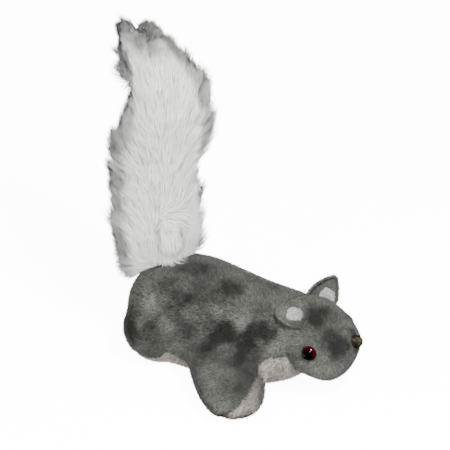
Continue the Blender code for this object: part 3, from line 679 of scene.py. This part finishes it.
# Short pile on some roots, combed along a direction, kept above the floor.
def shortPile(name, roots, normals, comb, tone, size, material, rng, longer=1.0):
    count = len(roots)
    comb = laidFlat(comb, normals, rng.normal(0, 0.55, count))
    length = size["length"] * rng.uniform(0.75, 1.15, count) * longer
    paths = strandPaths(roots - normals * 0.3 * mm, normals, comb, length, 1, size["lean"])
    paths[:, :, 2] = np.maximum(paths[:, :, 2], 0.3 * mm)
    width = size["width"] * rng.uniform(0.8, 1.2, count)
    tint = rng.uniform(-1, 1, count)
    return placed(name, strandMesh(name, paths, normals, comb, width, size["soften"], tone=tone,
                                   tint=tint), material)


backwards = np.array([[-1.0, 0, -0.35]])
outwards = np.stack([0 * roots[:, 0], np.sign(roots[:, 1]), 0 * roots[:, 0] - 0.2], axis=1)
onLeg = ease(42 * mm, 60 * mm, np.abs(roots[:, 1]))[:, None]
nap = backwards * (1 - onLeg) + outwards * onLeg
for name, chosen, tone, material, slotName in (
        ("bodyPileLeft", (belly <= 0) & (roots[:, 1] > 0), greyTone, greyPile, "grey_plush"),
        ("bodyPileRight", (belly <= 0) & (roots[:, 1] <= 0), greyTone, greyPile, "grey_plush"),
        ("bellyPile", belly > 0, paleTone, palePile, "pale_plush")):
    piece = shortPile(name, roots[chosen], normals[chosen], nap[chosen], tone(roots[chosen]),
                      bodyPile, material, rng)

print("head")
headPile = {"count": 52000, "length": 3.0 * mm, "width": 0.65 * mm, "lean": pileLean, "soften": 0.4}
eyeSize = {"diameter": 13.5 * mm, "along": 0.61, "lift": radians(10), "rise": 4.2 * mm,
           "sink": 1.4 * mm, "pupil": 9.4 * mm, "sideways": 3.0, "seat": 1.9 * mm}
noseSize = {"length": 6.5 * mm, "width": 12 * mm, "height": 11.5 * mm, "sink": 1.4 * mm,
            "lift": 3.3 * mm, "threads": 6.5, "threadDepth": 0.05, "scale": 0.985}
skin = stuffedMesh("headSkin", [limbGrid(headLimb, headSize["pileDepth"] * 0.85)],
                   headSize["voxel"], headSize["smoothing"])


# A point of the head's surface at a share of its length and an angle above level, with the
# outward normal from the two tangents there.
def headSpot(along, lift, side):
    def surface(share, angle):
        wide, high, shift = rowsAt(headLimb, share)
        return middleAt(headLimb, share, shift) + np.array(
            [0, side * wide * np.cos(angle), high * np.sin(angle)])

    forward = surface(along + 0.04, lift) - surface(along - 0.04, lift)
    around = surface(along, lift + 0.05) - surface(along, lift - 0.05)
    normal = unit(np.cross(forward, around))
    return surface(along, lift), normal if normal[1] * side > 0 else -normal


eyes = {}
for side in (-1, 1):  # the eyes look more sideways than the skin round them
    spot, normal = headSpot(eyeSize["along"], eyeSize["lift"], side)
    eyes[side] = spot, unit(normal + eyeSize["sideways"] * np.array([0.09, side, -0.10]))
noseMiddle = (middleAt(headLimb, headLimb["rows"][-1, 0], headLimb["rows"][-1, 3])
              + np.array([-noseSize["sink"], 0, noseSize["lift"]]))
noseHalf = np.array([noseSize["length"], noseSize["width"] / 2, noseSize["height"] / 2])


# How far each point is from the axis of an eye, in metres, on the eye's own side.
def eyeDistance(points, side):
    middle, normal = eyes[side]
    off = points - middle
    height = off @ normal
    far = np.linalg.norm(off - height[:, None] * normal, axis=1)
    return np.where(np.abs(height) < 12 * mm, far, 1.0)


at, _ = readMesh(skin)
socket = np.minimum(eyeDistance(at, -1), eyeDistance(at, 1))
for side, (middle, normal) in eyes.items():
    below = (at - middle) @ normal + eyeSize["seat"]
    at = at - (below * np.exp(-(eyeDistance(at, side) / (8.5 * mm)) ** 4))[:, None] * normal
moveTo(skin, at)
puffed(skin, np.exp(-(socket / (7 * mm)) ** 4), 3.0, 0.8 * mm)
at, _ = readMesh(skin)
giveValues(skin, tone=greyTone(at))
headSkin = placed("headSkin", skin, greySkin)
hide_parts("head_panel_left", "head_panel_right", "head_gusset", "head_stuffing")

roots, normals = scatter(skin, headPile["count"] // thinning, rng)
socket = np.minimum(eyeDistance(roots, -1), eyeDistance(roots, 1))
noseNear = np.linalg.norm((roots - noseMiddle) / noseHalf, axis=1)
keep = (socket > eyeSize["diameter"] / 2 - 0.2 * mm) & (noseNear > 0.72)
keep &= leastFill(bodyLimbs, roots) > 0.94
roots, normals = inOrder(roots, normals, keep)
towardNose = np.exp(-(np.linalg.norm(roots - noseMiddle, axis=1) / (11.5 * mm)) ** 4)[:, None]
nap = (np.array([[-1.0, 0, -0.25]]) * (1 - towardNose)
       + unit(noseMiddle + [6 * mm, 0, 0] - roots) * towardNose * 1.5)
for side, (middle, normal) in eyes.items():
    rim = eyeDistance(roots, side) - eyeSize["diameter"] / 2
    beside = np.exp(-(rim / (2.5 * mm)) ** 2)[:, None]
    nap = nap * (1 - beside) + unit(roots - middle) * beside
# Painted shade in the crease where the head meets the body, below 48 mm.
jawCreaseShade = np.exp(-((leastFill(bodyLimbs, roots) - 0.94) / 0.07) ** 2)
tone = greyTone(roots) * (1 - 0.85 * jawCreaseShade * (roots[:, 2] < 48 * mm))
headPilePiece = shortPile("headPile", roots, normals, nap, tone, headPile, greyPile, rng,
                          1 + 0.35 * towardNose[:, 0])

# The ears are cups, open in front. The left one stands at the side of the crown, and the right
# one, -1 below, is folded back and lies on the head.
earSize = {"along": {1: 0.36, -1: 0.40}, "lift": {1: radians(50), -1: radians(58)},
           "sink": {1: 3 * mm, -1: -0.8 * mm},
           "up": {1: (0.18, 0.59, 0.79), -1: (-0.93, -0.47, 0.09)},
           "facing": {1: (0.5, -0.866, 0), -1: (0.10, -0.58, 0.81)}, "base": {1: 1.0, -1: 0.3},
           "width": {1: 29 * mm, -1: 27 * mm}, "height": {1: 25 * mm, -1: 22 * mm},
           "depth": 9 * mm, "opening": {1: 0.08, -1: -0.04}, "point": {1: 0.42, -1: 0.12},
           "curl": {1: 2 * mm, -1: 0.0}, "outerSkin": 0.9 * mm, "innerSkin": 2.6 * mm,
           "hollow": {1: 0.55, -1: 0.25}, "liningWidth": {1: 0.46, -1: 0.42},
           "liningTop": {1: 0.45, -1: 0.31}, "liningShift": {1: (4 * mm, 0), -1: (0, 5 * mm)}}
earPile = {"count": 7000, "length": 2.3 * mm, "width": 0.5 * mm, "lean": pileLean, "soften": 0.5}
liningPile = {"count": 2400, "length": 2.0 * mm, "width": 0.45 * mm,
              "lean": (0.7, 0.05, 0.4, 0.2), "soften": 0.6}


# The sizes of one ear.
def earOn(side):
    return {name: value[side] if isinstance(value, dict) else value
            for name, value in earSize.items()}


# An ear's own axes as rows: out of the cup, across it, and up to its tip.
def earAxes(side):
    ear = earOn(side)
    point, normal = headSpot(ear["along"], ear["lift"], side)
    z = unit(ear["up"])
    y = unit(np.cross(z, ear["facing"]))
    return point - normal * ear["sink"], np.stack([np.cross(y, z), y, z])


# The cup: x = -cos(a) * depth, and y and z run round at sin(a), drawn in towards the tip. The
# path goes from the middle of the back out to the rim, round it, and back inside.
def earGrid(side, around=64, steps=20, middle=0.02):
    ear = earOn(side)
    outer, inner = ear["outerSkin"], ear["innerSkin"]
    rim = np.arccos(-ear["opening"])
    out = np.stack([np.linspace(middle, rim, steps), np.full(steps, outer)], axis=1)
    turn = np.linspace(0, np.pi, 7)[1:-1]
    half = (inner - outer) / 2
    roll = np.stack([rim + 0.08 * np.sin(turn), outer + half - half * np.cos(turn)], axis=1)
    back = np.stack([np.linspace(rim, middle, steps), np.full(steps, inner)], axis=1)
    angle, inset = np.vstack([out, roll, back]).T[:, :, None]
    spin = roundTurn(around)[None]
    rise = np.maximum(np.sin(angle) * np.sin(spin), 0)
    within = (inset > inner - 0.1 * mm) & (angle < np.pi / 2)
    x = -np.cos(angle) * (ear["depth"] - inset) * np.where(within, ear["hollow"], 1) + 0 * spin
    y = np.sin(angle) * np.cos(spin) * (ear["width"] / 2 - inset) * (1 - ear["point"] * rise ** 2)
    y = y + ear["curl"] * rise ** 2
    z = np.sin(angle) * np.sin(spin) * (ear["height"] - inset)
    z = np.where(z < 0, z * ear["base"], z)
    point, axes = earAxes(side)
    return point + np.stack([x, y, z], axis=-1) @ axes


# The lining is a rounded patch on the cup's inner wall: x follows the wall over each y and z.
def liningGrid(side, rings=12, around=48):
    ear = earOn(side)
    inset = ear["innerSkin"] + 0.1 * mm
    halfWidth, height = ear["width"] / 2 - inset, ear["height"] - inset
    spin = roundTurn(around)[None]
    r = np.linspace(0.02, 1, rings)[:, None]
    r = r * (1 + 0.05 * np.sin(3 * spin + 1) + 0.04 * np.sin(7 * spin) + 0.03 * np.sin(12 * spin))
    y, z = signedPower(np.cos(spin), 0.7), signedPower(np.sin(spin), 0.7)
    y = ear["liningShift"][0] + ear["width"] * ear["liningWidth"] / 2 * r * y
    z = ear["liningShift"][1] + ear["height"] * ear["liningTop"] * r * z
    rise = np.maximum(z / height, 0)
    across = (y - ear["curl"] * rise ** 2) / (halfWidth * (1 - ear["point"] * rise ** 2))
    room = 1 - across ** 2 - (z / height) ** 2
    x = -np.sqrt(np.maximum(room, 0.01)) * (ear["depth"] - inset) * ear["hollow"]
    thick = 0.9 * mm * (1 - 0.7 * r ** 4)
    front = np.stack([x + thick, y, z], axis=-1)
    behind = np.stack([x, y, z], axis=-1)[::-1]
    point, axes = earAxes(side)
    return point + np.concatenate([front, behind]) @ axes


# The mesh of a closed grid, turned inside out if its volume comes out negative.
def outwardMesh(name, grid):
    mesh = meshFrom(name, *tubeParts(grid))
    a, b, c = readMesh(mesh)[0][readTriangles(mesh)].transpose(1, 0, 2)
    if (a * np.cross(b, c)).sum() < 0:
        mesh.flip_normals()
    return mesh


print("ears")
for side, label in ((1, "left"), (-1, "right")):
    title, size = label.capitalize(), earOn(side)
    shell = outwardMesh("ear" + title, earGrid(side))
    giveValues(shell, tone=greyTone(readMesh(shell)[0]))
    ear = placed("ear" + title, shell, greySkin)
    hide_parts("ear_" + label)
    point, axes = earAxes(side)
    roots, normals = scatter(shell, earPile["count"], rng)
    local = (roots - point) @ axes.T
    shiftAcross, shiftUp = size["liningShift"]
    lined = ((np.abs(local[:, 1] - shiftAcross) < size["width"] * size["liningWidth"] / 2)
             & (np.abs(local[:, 2] - shiftUp) < size["height"] * size["liningTop"])
             & ((normals @ axes[0]) > 0.3))
    keep = (leastFill([headLimb], roots) > 0.97) & ~lined
    roots, normals = roots[keep], normals[keep]
    local = local[keep] - [0, shiftAcross, size["height"] * 0.2]
    pile = shortPile("earPile" + title, roots, normals, local[:, 1:] @ axes[1:],
                     greyTone(roots) + 0.08, earPile, greyPile, rng)
    patch = outwardMesh("earLining" + title, liningGrid(side))
    giveValues(patch, tone=paleTone(readMesh(patch)[0]))
    lining = placed("earLining" + title, patch, paleSkin)
    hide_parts(f"ear_{label}_lining")
    roots, normals = scatter(patch, liningPile["count"], rng)
    keep = (leastFill([headLimb], roots) > 0.97) & ((normals @ axes[0]) > 0.2)
    roots, normals = roots[keep], normals[keep]
    pile = shortPile("liningPile" + title, roots, normals, np.tile(axes[2], (len(roots), 1)),
                     paleTone(roots) + 0.15, liningPile, liningPlush, rng)


# Moulded plastic: one colour that deepens towards the middle, under a hard clear gloss.
def eyeMaterial(name, inner, outer, rough):
    material, tree, shader = newMaterial(name)
    swirl = noiseOn(tree, objectPlace(tree), 260.0)
    share = maths(tree, "MULTIPLY_ADD", swirl, 0.3, attribute(tree, "rimward"))
    wear = ranged(tree, swirl, To_Min=rough, To_Max=rough + 0.05)
    setInputs(tree, shader, Base_Color=mixed(tree, share, (*inner, 1), (*outer, 1)), Roughness=wear,
              Specular_IOR_Level=0.2, Coat_Weight=0.3, Coat_Roughness=0.03)
    return material


print("eyes and nose")
rubyPlastic = eyeMaterial("rubyPlastic", (0.003, 0.0002, 0.0004), (0.017, 0.0002, 0.0013), 0.08)
blackPlastic = eyeMaterial("blackPlastic", (0.0005, 0.0005, 0.0005), (0.002, 0.0005, 0.001), 0.06)


# A profile of (radius, height) points turned about the eye's axis.
def turnedGrid(profile, side, around=56):
    middle, normal = eyes[side]
    x = unit(np.cross(normal, (0, 0, 1)))
    y = np.cross(normal, x)
    spin = roundTurn(around)[None, :, None]
    radius, height = profile.T[:, :, None, None]
    return middle + radius * (np.cos(spin) * x + np.sin(spin) * y) + height * normal


# The dome's height over a radius: rise * sqrt(1 - (r / R)^2), less how far it sinks in the pile.
def domeProfile(inner, outer, foot):
    r = np.linspace(inner, outer, 14)
    edge = eyeSize["diameter"] / 2
    top = np.sqrt(np.maximum(1 - (r / edge) ** 2, 0)) * eyeSize["rise"] - eyeSize["sink"]
    lip = 0.12 * mm
    rounded = top - lip * (np.exp(-(r - inner) / lip) * (inner > 0)
                           + np.exp((r - outer) / lip) * (outer < edge))
    down = [(outer, foot + 0.3 * mm), (outer - 0.2 * mm, foot), (max(inner, 0.1 * mm) + 0.1 * mm, foot)]
    return np.vstack([np.stack([np.maximum(r, 0.05 * mm), rounded], axis=1), down])


for side, label in ((1, "left"), (-1, "right")):
    pupil, edge = eyeSize["pupil"] / 2, eyeSize["diameter"] / 2
    middle, normal = eyes[side]
    for kind, inner, outer, material, slotName in (
            ("Cap", pupil, edge, rubyPlastic, "ruby_plastic"),
            ("Pupil", 0.0, pupil - 0.05 * mm, blackPlastic, "black_plastic")):
        profile = domeProfile(inner, outer, -2.4 * mm)
        if inner:  # the cap is a ring, so its profile closes
            profile = np.vstack([profile, profile[:1]])
        title = "eye" + label.capitalize() + kind
        mesh = outwardMesh(title, turnedGrid(profile, side))
        off = readMesh(mesh)[0] - middle
        radial = np.linalg.norm(off - (off @ normal)[:, None] * normal, axis=1)
        giveValues(mesh, rimward=ease(pupil * 0.9, edge, radial))
        piece = placed(title, mesh, material)
        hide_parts(f"eye_{label}_{kind.lower()}")


# Yarn worked over the nose: threads lie side by side across it.
def yarnMaterial():
    material, tree, shader = newMaterial("oliveYarn")
    place = objectPlace(tree)
    stretch = addNode(tree, "Mapping", Vector=place, Scale=(900, 250, 1500)).outputs[0]
    fleck = noiseOn(tree, stretch, 1.0, 3.0)
    both = maths(tree, "ADD", fleck, noiseOn(tree, place, 380.0, 1.0))
    share = ranged(tree, both, From_Min=0.78, From_Max=1.35)
    ramp = addNode(tree, "ValToRGB", Fac=share)
    ramp.color_ramp.elements[0].color = (0.002, 0.0015, 0.001, 1)
    ramp.color_ramp.elements[1].color = (0.085, 0.052, 0.014, 1)
    middle = ramp.color_ramp.elements.new(0.5)
    middle.color = (0.006, 0.005, 0.002, 1)
    bump = addNode(tree, "Bump", Height=fleck, Strength=0.5, Distance=0.0004).outputs[0]
    setInputs(tree, shader, Base_Color=ramp.outputs[0], Normal=bump, Roughness=0.65,
              Specular_IOR_Level=0.2)
    return material


# The nose is an ellipsoid whose radius swells and dips by |sin| of the height: one thread each.
angle = np.linspace(0.02, np.pi - 0.02, 90)[:, None]
spin = roundTurn(72)[None]
x, y, z = np.cos(angle) + 0 * spin, np.sin(angle) * np.cos(spin), np.sin(angle) * np.sin(spin)
ridge = np.abs(np.sin(z * np.pi * noseSize["threads"])) - 0.6
thread = 1 + noseSize["threadDepth"] * ridge * (1 - x ** 8)  # flat at the very front
grid = noseMiddle + np.stack([x, y, z], axis=-1) * thread[..., None] * noseHalf * noseSize["scale"]
nose = placed("noseBall", outwardMesh("noseBall", grid), yarnMaterial())
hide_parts("nose")

milky, tree, shader = newMaterial("milkyPlastic")
cloud = noiseOn(tree, objectPlace(tree), 300.0)
setInputs(tree, shader, Roughness=0.4,
          Base_Color=mixed(tree, cloud, (0.62, 0.62, 0.60, 1), (0.74, 0.74, 0.72, 1)))
for name in ("eye_left_washer", "eye_right_washer"):
    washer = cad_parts[name]
    washer.data.materials.clear()
    washer.data.materials.append(milky)

print("tail")
tailFur = {"frontCount": 34000, "backCount": 30000, "length": 24 * mm, "width": 0.55 * mm,
           "bend": (0.75, 0.30, 0.55, 0.35), "clumpFront": 900, "clumpBack": 700, "clump": 0.28,
           "spread": 0.75, "tuft": (-33 * mm, -10 * mm, 109 * mm), "tuftRise": 16 * mm,
           "notch": (-72 * mm, 4 * mm, 304 * mm), "lobeRadius": 8.3 * mm, "lobeTall": 24 * mm,
           "lobeDrop": 18 * mm, "lobes": [(0.936, 0.325), (0.957, 0.105), (0.872, 0.335), (0.795, 0.300)],
           "tuftForm": (0.205, 0.00, 0.05, 0.24, 8.5 * mm, 15 * mm)}


# How deep the fur stands at a share of the tail's height: thinner at the foot and at the tip.
def furRoom(share):
    return tailSize["furDepth"] * np.interp(share, [0.04, 0.20, 0.76, 0.90], [0.45, 1.0, 1.0, 0.55])


# A point at shares of the tail's height and, backwards, of its width.
def tailSpot(rise, back):
    return np.array([-tailSize["back"] - back * tailSize["width"], tailSize["side"],
                     tailSize["foot"] + rise * tailSize["height"]])


# The core is the tail less its fur, with a stub for each lobe of the tip and one for the tuft.
rows = tailLimb["rows"]
rows = rows[(rows[:, 0] > 0.04) & (rows[:, 0] < 0.915)]
rows[:, 1:3] = np.maximum(rows[:, 1:3] - furRoom(rows[:, :1]), 3 * mm)
coreLimb = dict(tailLimb, rows=rows)
swell = tailFur["lobeRadius"] * np.sin(np.linspace(0.4, 2.9, 9))
stubs = [limb(tailSpot(rise, back) - [0, 0, tailFur["lobeDrop"]], (0, 0, tailFur["lobeTall"]),
              tailAcross, tailFront, limbRows(np.linspace(0, 1, 9), swell, swell), 2)
         for rise, back in tailFur["lobes"]]
rise, back, aside, ahead, wide, tall = tailFur["tuftForm"]
middle = (tailSpot(rise, back) + tailAcross * aside * tailSize["width"]
          + tailFront * ahead * tailSize["depth"])
stubs.append(limb(middle - np.array([0, 0, tall]), (0, 0, 2 * tall), tailAcross, tailFront,
                  roundRows(wide, wide, 0.1, 11), 2))
core = stuffedMesh("tailCore", [limbGrid(coreLimb)] + [limbGrid(stub, 0, 24) for stub in stubs],
                   tailSize["voxel"], tailSize["smoothing"])
at, _ = readMesh(core)


# Where each point is on the tail: share of height, across from its middle and ahead of it, both
# as shares of the half size there.
def tailPlace(points):
    share = (points[:, 2] - tailSize["foot"]) / tailSize["height"]
    wide, deep, shift = rowsAt(tailLimb, share)
    off = points - middleAt(tailLimb, share, shift)
    return share, off @ tailAcross / wide, off @ tailFront / deep


# The core's right side leans in towards the tip, and its left side below the waist.
share, aside, _ = tailPlace(at)
inward = (ease(0.74, 0.86, share) * ease(0.0, 0.9, aside) * 8 * mm
          - ease(0.48, 0.60, share) * ease(0.78, 0.70, share) * ease(0.0, -0.9, aside) * 6 * mm)
at = at - tailAcross * inward[:, None]
moveTo(core, at)


# How far each point is, across the tail and up it, from the short upright line inside the tuft.
# Points behind the tail's middle count as 1 m further.
def tuftDistance(points):
    off = points - np.array(tailFur["tuft"])
    over = off[:, 2] - np.clip(off[:, 2], 0, tailFur["tuftRise"])
    return np.hypot(off @ tailAcross, over) + 1 * (tailPlace(points)[2] < 0)


# Tone of the tail's fur from 0, dark grey, to 1, white: white in front, grey behind, at the tip and along
# the edges, painted light on the left side near the tip, and a line of painted shade round the lower end
# of the tuft.
def furTone(points):
    share, aside, ahead = tailPlace(points)
    face = (ahead - 0.70 * ease(0.60, 1.10, np.abs(aside)) + 0.15 * lumps(points, 16 * mm, 21)
            + 0.08 * lumps(points, 5 * mm, 22)
            - 1.45 * ease(0.32, 0.85, aside) * ease(0.44, 0.56, share)
            # painted light: the left side near the tip, away from the key lamp, is made whiter
            + ease(-0.2, -0.7, aside) * ease(0.62, 0.82, share) * ease(-1.0, -0.2, ahead)
            - (0.25 + 0.6 * ease(0.25, 0.08, share)) * ease(-0.5, -0.95, aside) * ease(0.76, 0.70, share))
    dark = 0.95 * ease(0.865, 0.94, share + 0.03 * lumps(points, 12 * mm, 23))
    # painted shade: a dark line round the lower end of the tuft
    line = (np.exp(-((tuftDistance(points) - 10.5 * mm) / (2.2 * mm)) ** 2)
            * ease(134 * mm, 116 * mm, points[:, 2]))
    white = ease(-0.25, 0.45, face) * (1 - dark) * (1 - 0.85 * line)
    grey = 0.36 - 0.32 * ease(0.82, 0.92, share) + 0.10 * lumps(points, 10 * mm, 24)
    return np.clip(grey + (0.93 + 0.07 * lumps(points, 11 * mm, 25) - grey) * white, 0.05, 1)


giveValues(core, tone=furTone(at))
tailCore = placed("tailCore", core, tailSkin)
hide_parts("tail_stuffing")


# Which way the fur is combed: up and outwards, round the foot downwards, and down on the tuft. On
# the tip and the tuft the strands stand along the tail, so the skin counts as facing front or back.
def furComb(points, normals):
    share, aside, ahead = tailPlace(points)
    aside = np.clip(aside, -1, 1)
    fall = np.pi * (1 - ease(0.01, 0.17, share))
    sideways = (tailFur["spread"] * ease(0.02, 0.2, share) * aside
                + 0.5 * np.sin(fall) * np.clip(2 * aside, -1, 1))
    comb = np.cos(fall)[:, None] * np.array([[0, 0, 1.0]]) + sideways[:, None] * tailAcross
    near = ease(12 * mm, 7 * mm, tuftDistance(points))[:, None]
    comb = comb * np.cos(np.pi * near) + tailAcross * np.sin(np.pi * near)
    tip = ease(0.80, 0.88, share)
    tipward = ease(0.80, 0.92, share)[:, None]
    lobe = np.where((points - np.array(tailFur["notch"])) @ tailAcross > 0, 1.0, -1.0)[:, None]
    comb = comb + tipward * lobe * tailAcross * 0.25
    top = (np.clip(1.2 * normals[:, 2], 0, 1) * np.maximum(near[:, 0], tip))[:, None]
    towards = np.where(ahead > -0.1, 1, -1)[:, None] * tailFront
    return comb, unit(normals * (1 - top) + towards * top), near[:, 0]


# Points inside a limb are moved straight out from its middle, to just past its surface.
def pushedOut(points, shape, clear=1.02):
    flat = points.reshape(-1, 3)
    fill, middle = limbFill(shape, flat)
    moved = middle + (flat - middle) / np.maximum(fill, 0.3)[:, None] * clear
    return np.where((fill < clear)[:, None], moved, flat).reshape(points.shape)


# Long fur: strands are gathered into locks, whose tips close up towards one strand of each.
def longPile(name, roots, normals, locks, rng):
    count = len(roots)
    skinNormals = normals
    comb, normals, tuftNear = furComb(roots, normals)
    swirl = 0.30 * lumps(roots, 13 * mm, 26) + 0.18 * lumps(roots, 5 * mm, 27)
    comb = laidFlat(comb, normals, swirl + rng.normal(0, 0.16, count))
    share, aside, _ = tailPlace(roots)
    fromNotch = (roots - tailFur["notch"]) @ tailAcross
    notchNear = np.exp(-(fromNotch / (3.5 * mm)) ** 2) * ease(0.84, 0.88, share)
    wispy = ease(0.70, 0.76, share) * ease(0.93, 0.86, share) * ease(-0.25, -0.7, aside)
    length = tailFur["length"] * rng.uniform(0.75, 1.12, count)
    length = length * (1 - 0.42 * ease(0.78, 0.90, share) - 0.45 * (1 - ease(0.02, 0.15, share)))
    length = length * (1 - 0.35 * tuftNear) * (1 - 0.75 * notchNear) * (1 - 0.30 * wispy)
    leaders = rng.choice(count, locks, replace=False)
    nearest = np.concatenate([((part[:, None] - roots[leaders][None]) ** 2).sum(2).argmin(1)
                              for part in np.array_split(roots, 24)])
    length = length * (1 + 0.10 * rng.standard_normal(locks).clip(-2, 2)[nearest])
    raised = (1 + 0.18 * rng.standard_normal(locks).clip(-2, 2)[nearest])[:, None]
    raised = raised * (furRoom(share) / tailSize["furDepth"] * (1 - 0.4 * wispy)
                       * (1 + 0.5 * tuftNear) * (1 - 0.6 * notchNear))[:, None]
    paths = strandPaths(roots - normals * mm, normals * raised, comb, length, 3, tailFur["bend"])
    pull = tailFur["clump"] * (np.arange(4) / 3) ** 2 * rng.uniform(0.5, 1.3, (count, 1))
    paths = paths + pull[:, :, None] * (paths[leaders[nearest]] - paths)
    for part in bodyLimbs:
        paths = pushedOut(paths, part)
    width = tailFur["width"] * rng.uniform(0.7, 1.25, count)
    tone = np.stack([furTone(paths[:, k]) for k in range(4)], axis=1)
    tone = perCorner(tone + np.array([-0.24, -0.16, -0.04, 0.10]) * ease(0.95, 0.35, tone))
    facing = np.maximum(ease(0.75, 0.90, share),
                        1.3 * ease(0.68, 0.78, share) * ease(-0.2, -0.6, aside))
    shown = unit(np.maximum(skinNormals, [[-1, -1, -0.1]]) + facing[:, None] * [[0.6, -0.6, 0.4]])
    tint = rng.uniform(-1, 1, count)
    return placed(name, strandMesh(name, paths, normals, comb, width, 0.7, tint=tint, tone=tone,
                                   shown=shown), longFur)


for name, front, strands, locks, node, slotName in (
        ("tailFrontFur", True, "frontCount", "clumpFront", "tail_front_fur", "white_fur"),
        ("tailBackFur", False, "backCount", "clumpBack", "tail_back_fur", "grey_fur")):
    count = tailFur[strands]
    roots, normals = scatter(core, 3 * count // thinning, rng)  # the panel keeps some of them
    keep = (tailPlace(roots)[2] > tailSize["seam"]) == front
    keep = np.nonzero(keep & (leastFill(bodyLimbs, roots) > 0.97))[0]
    some = keep[rng.permutation(len(keep))[:count // 1]]
    fur = longPile(name, *inOrder(roots, normals, some, 6 * mm), tailFur[locks], rng)
    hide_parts(node)

print("floor, light and camera")
floorMaterial, tree, shader = newMaterial("paleFloor")
seen = addNode(tree, "LightPath").outputs["Is Camera Ray"]
setInputs(tree, shader, Base_Color=(0.93, 0.93, 0.93, 1), Roughness=0.9,
          Emission_Color=(1, 1, 1, 1),
          Emission_Strength=maths(tree, "MULTIPLY_ADD", seen, 12.0, 0.2))
corners = np.array([[-6, -6, 0], [6, -6, 0], [6, 6, 0], [-6, 6, 0]], float)
floor = addObject("floor", meshFrom("floor", corners, np.array([[0, 1, 2, 3]])))
floor.data.materials.append(floorMaterial)
floor.visible_glossy = False  # the eyes mirror the lamp alone

world = bpy.data.worlds.new("studio")
scene.world = world
world.use_nodes = True
world.cycles_visibility.glossy = False
background = world.node_tree.nodes["Background"]
setInputs(world.node_tree, background, Color=(1, 1, 1, 1), Strength=0.6)

azimuth, elevation = radians(cameraView["azimuth"]), radians(cameraView["elevation"])
backward = np.array([sin(azimuth) * cos(elevation), -cos(azimuth) * cos(elevation), sin(elevation)])
toRight = np.array([cos(azimuth), sin(azimuth), 0])
toUp = np.cross(backward, toRight)
aim = np.array(cameraView["aim"])


# A soft light: right, up and near are metres from the toy as the camera sees it.
def softLight(name, right, up, near, size, power, glossy=True):
    lamp = bpy.data.lights.new(name, "AREA")
    lamp.shape, lamp.size, lamp.energy = "DISK", size, power
    made = addObject(name, lamp)
    made.visible_glossy = glossy
    at = aim + toRight * right + toUp * up + backward * near
    made.location = at.tolist()
    made.rotation_euler = Vector(at - aim).to_track_quat("Z", "Y").to_euler()


softLight("keyLight", 0.30, 0.40, 1.1, 0.3, 50)
softLight("fillLight", -0.6, 0.2, 1.2, 0.8, 20, glossy=False)

lens = bpy.data.cameras.new("camera")
lens.sensor_width = 36
lens.lens = 36 * cameraView["distance"] / cameraView["frameWidth"]
lens.clip_start, lens.clip_end = 1, 60
camera = addObject("camera", lens)
turned = np.column_stack([toRight, toUp, backward, aim + backward * cameraView["distance"]])
camera.matrix_world = Matrix(np.vstack([turned, [0, 0, 0, 1]]).tolist())
scene.camera = camera
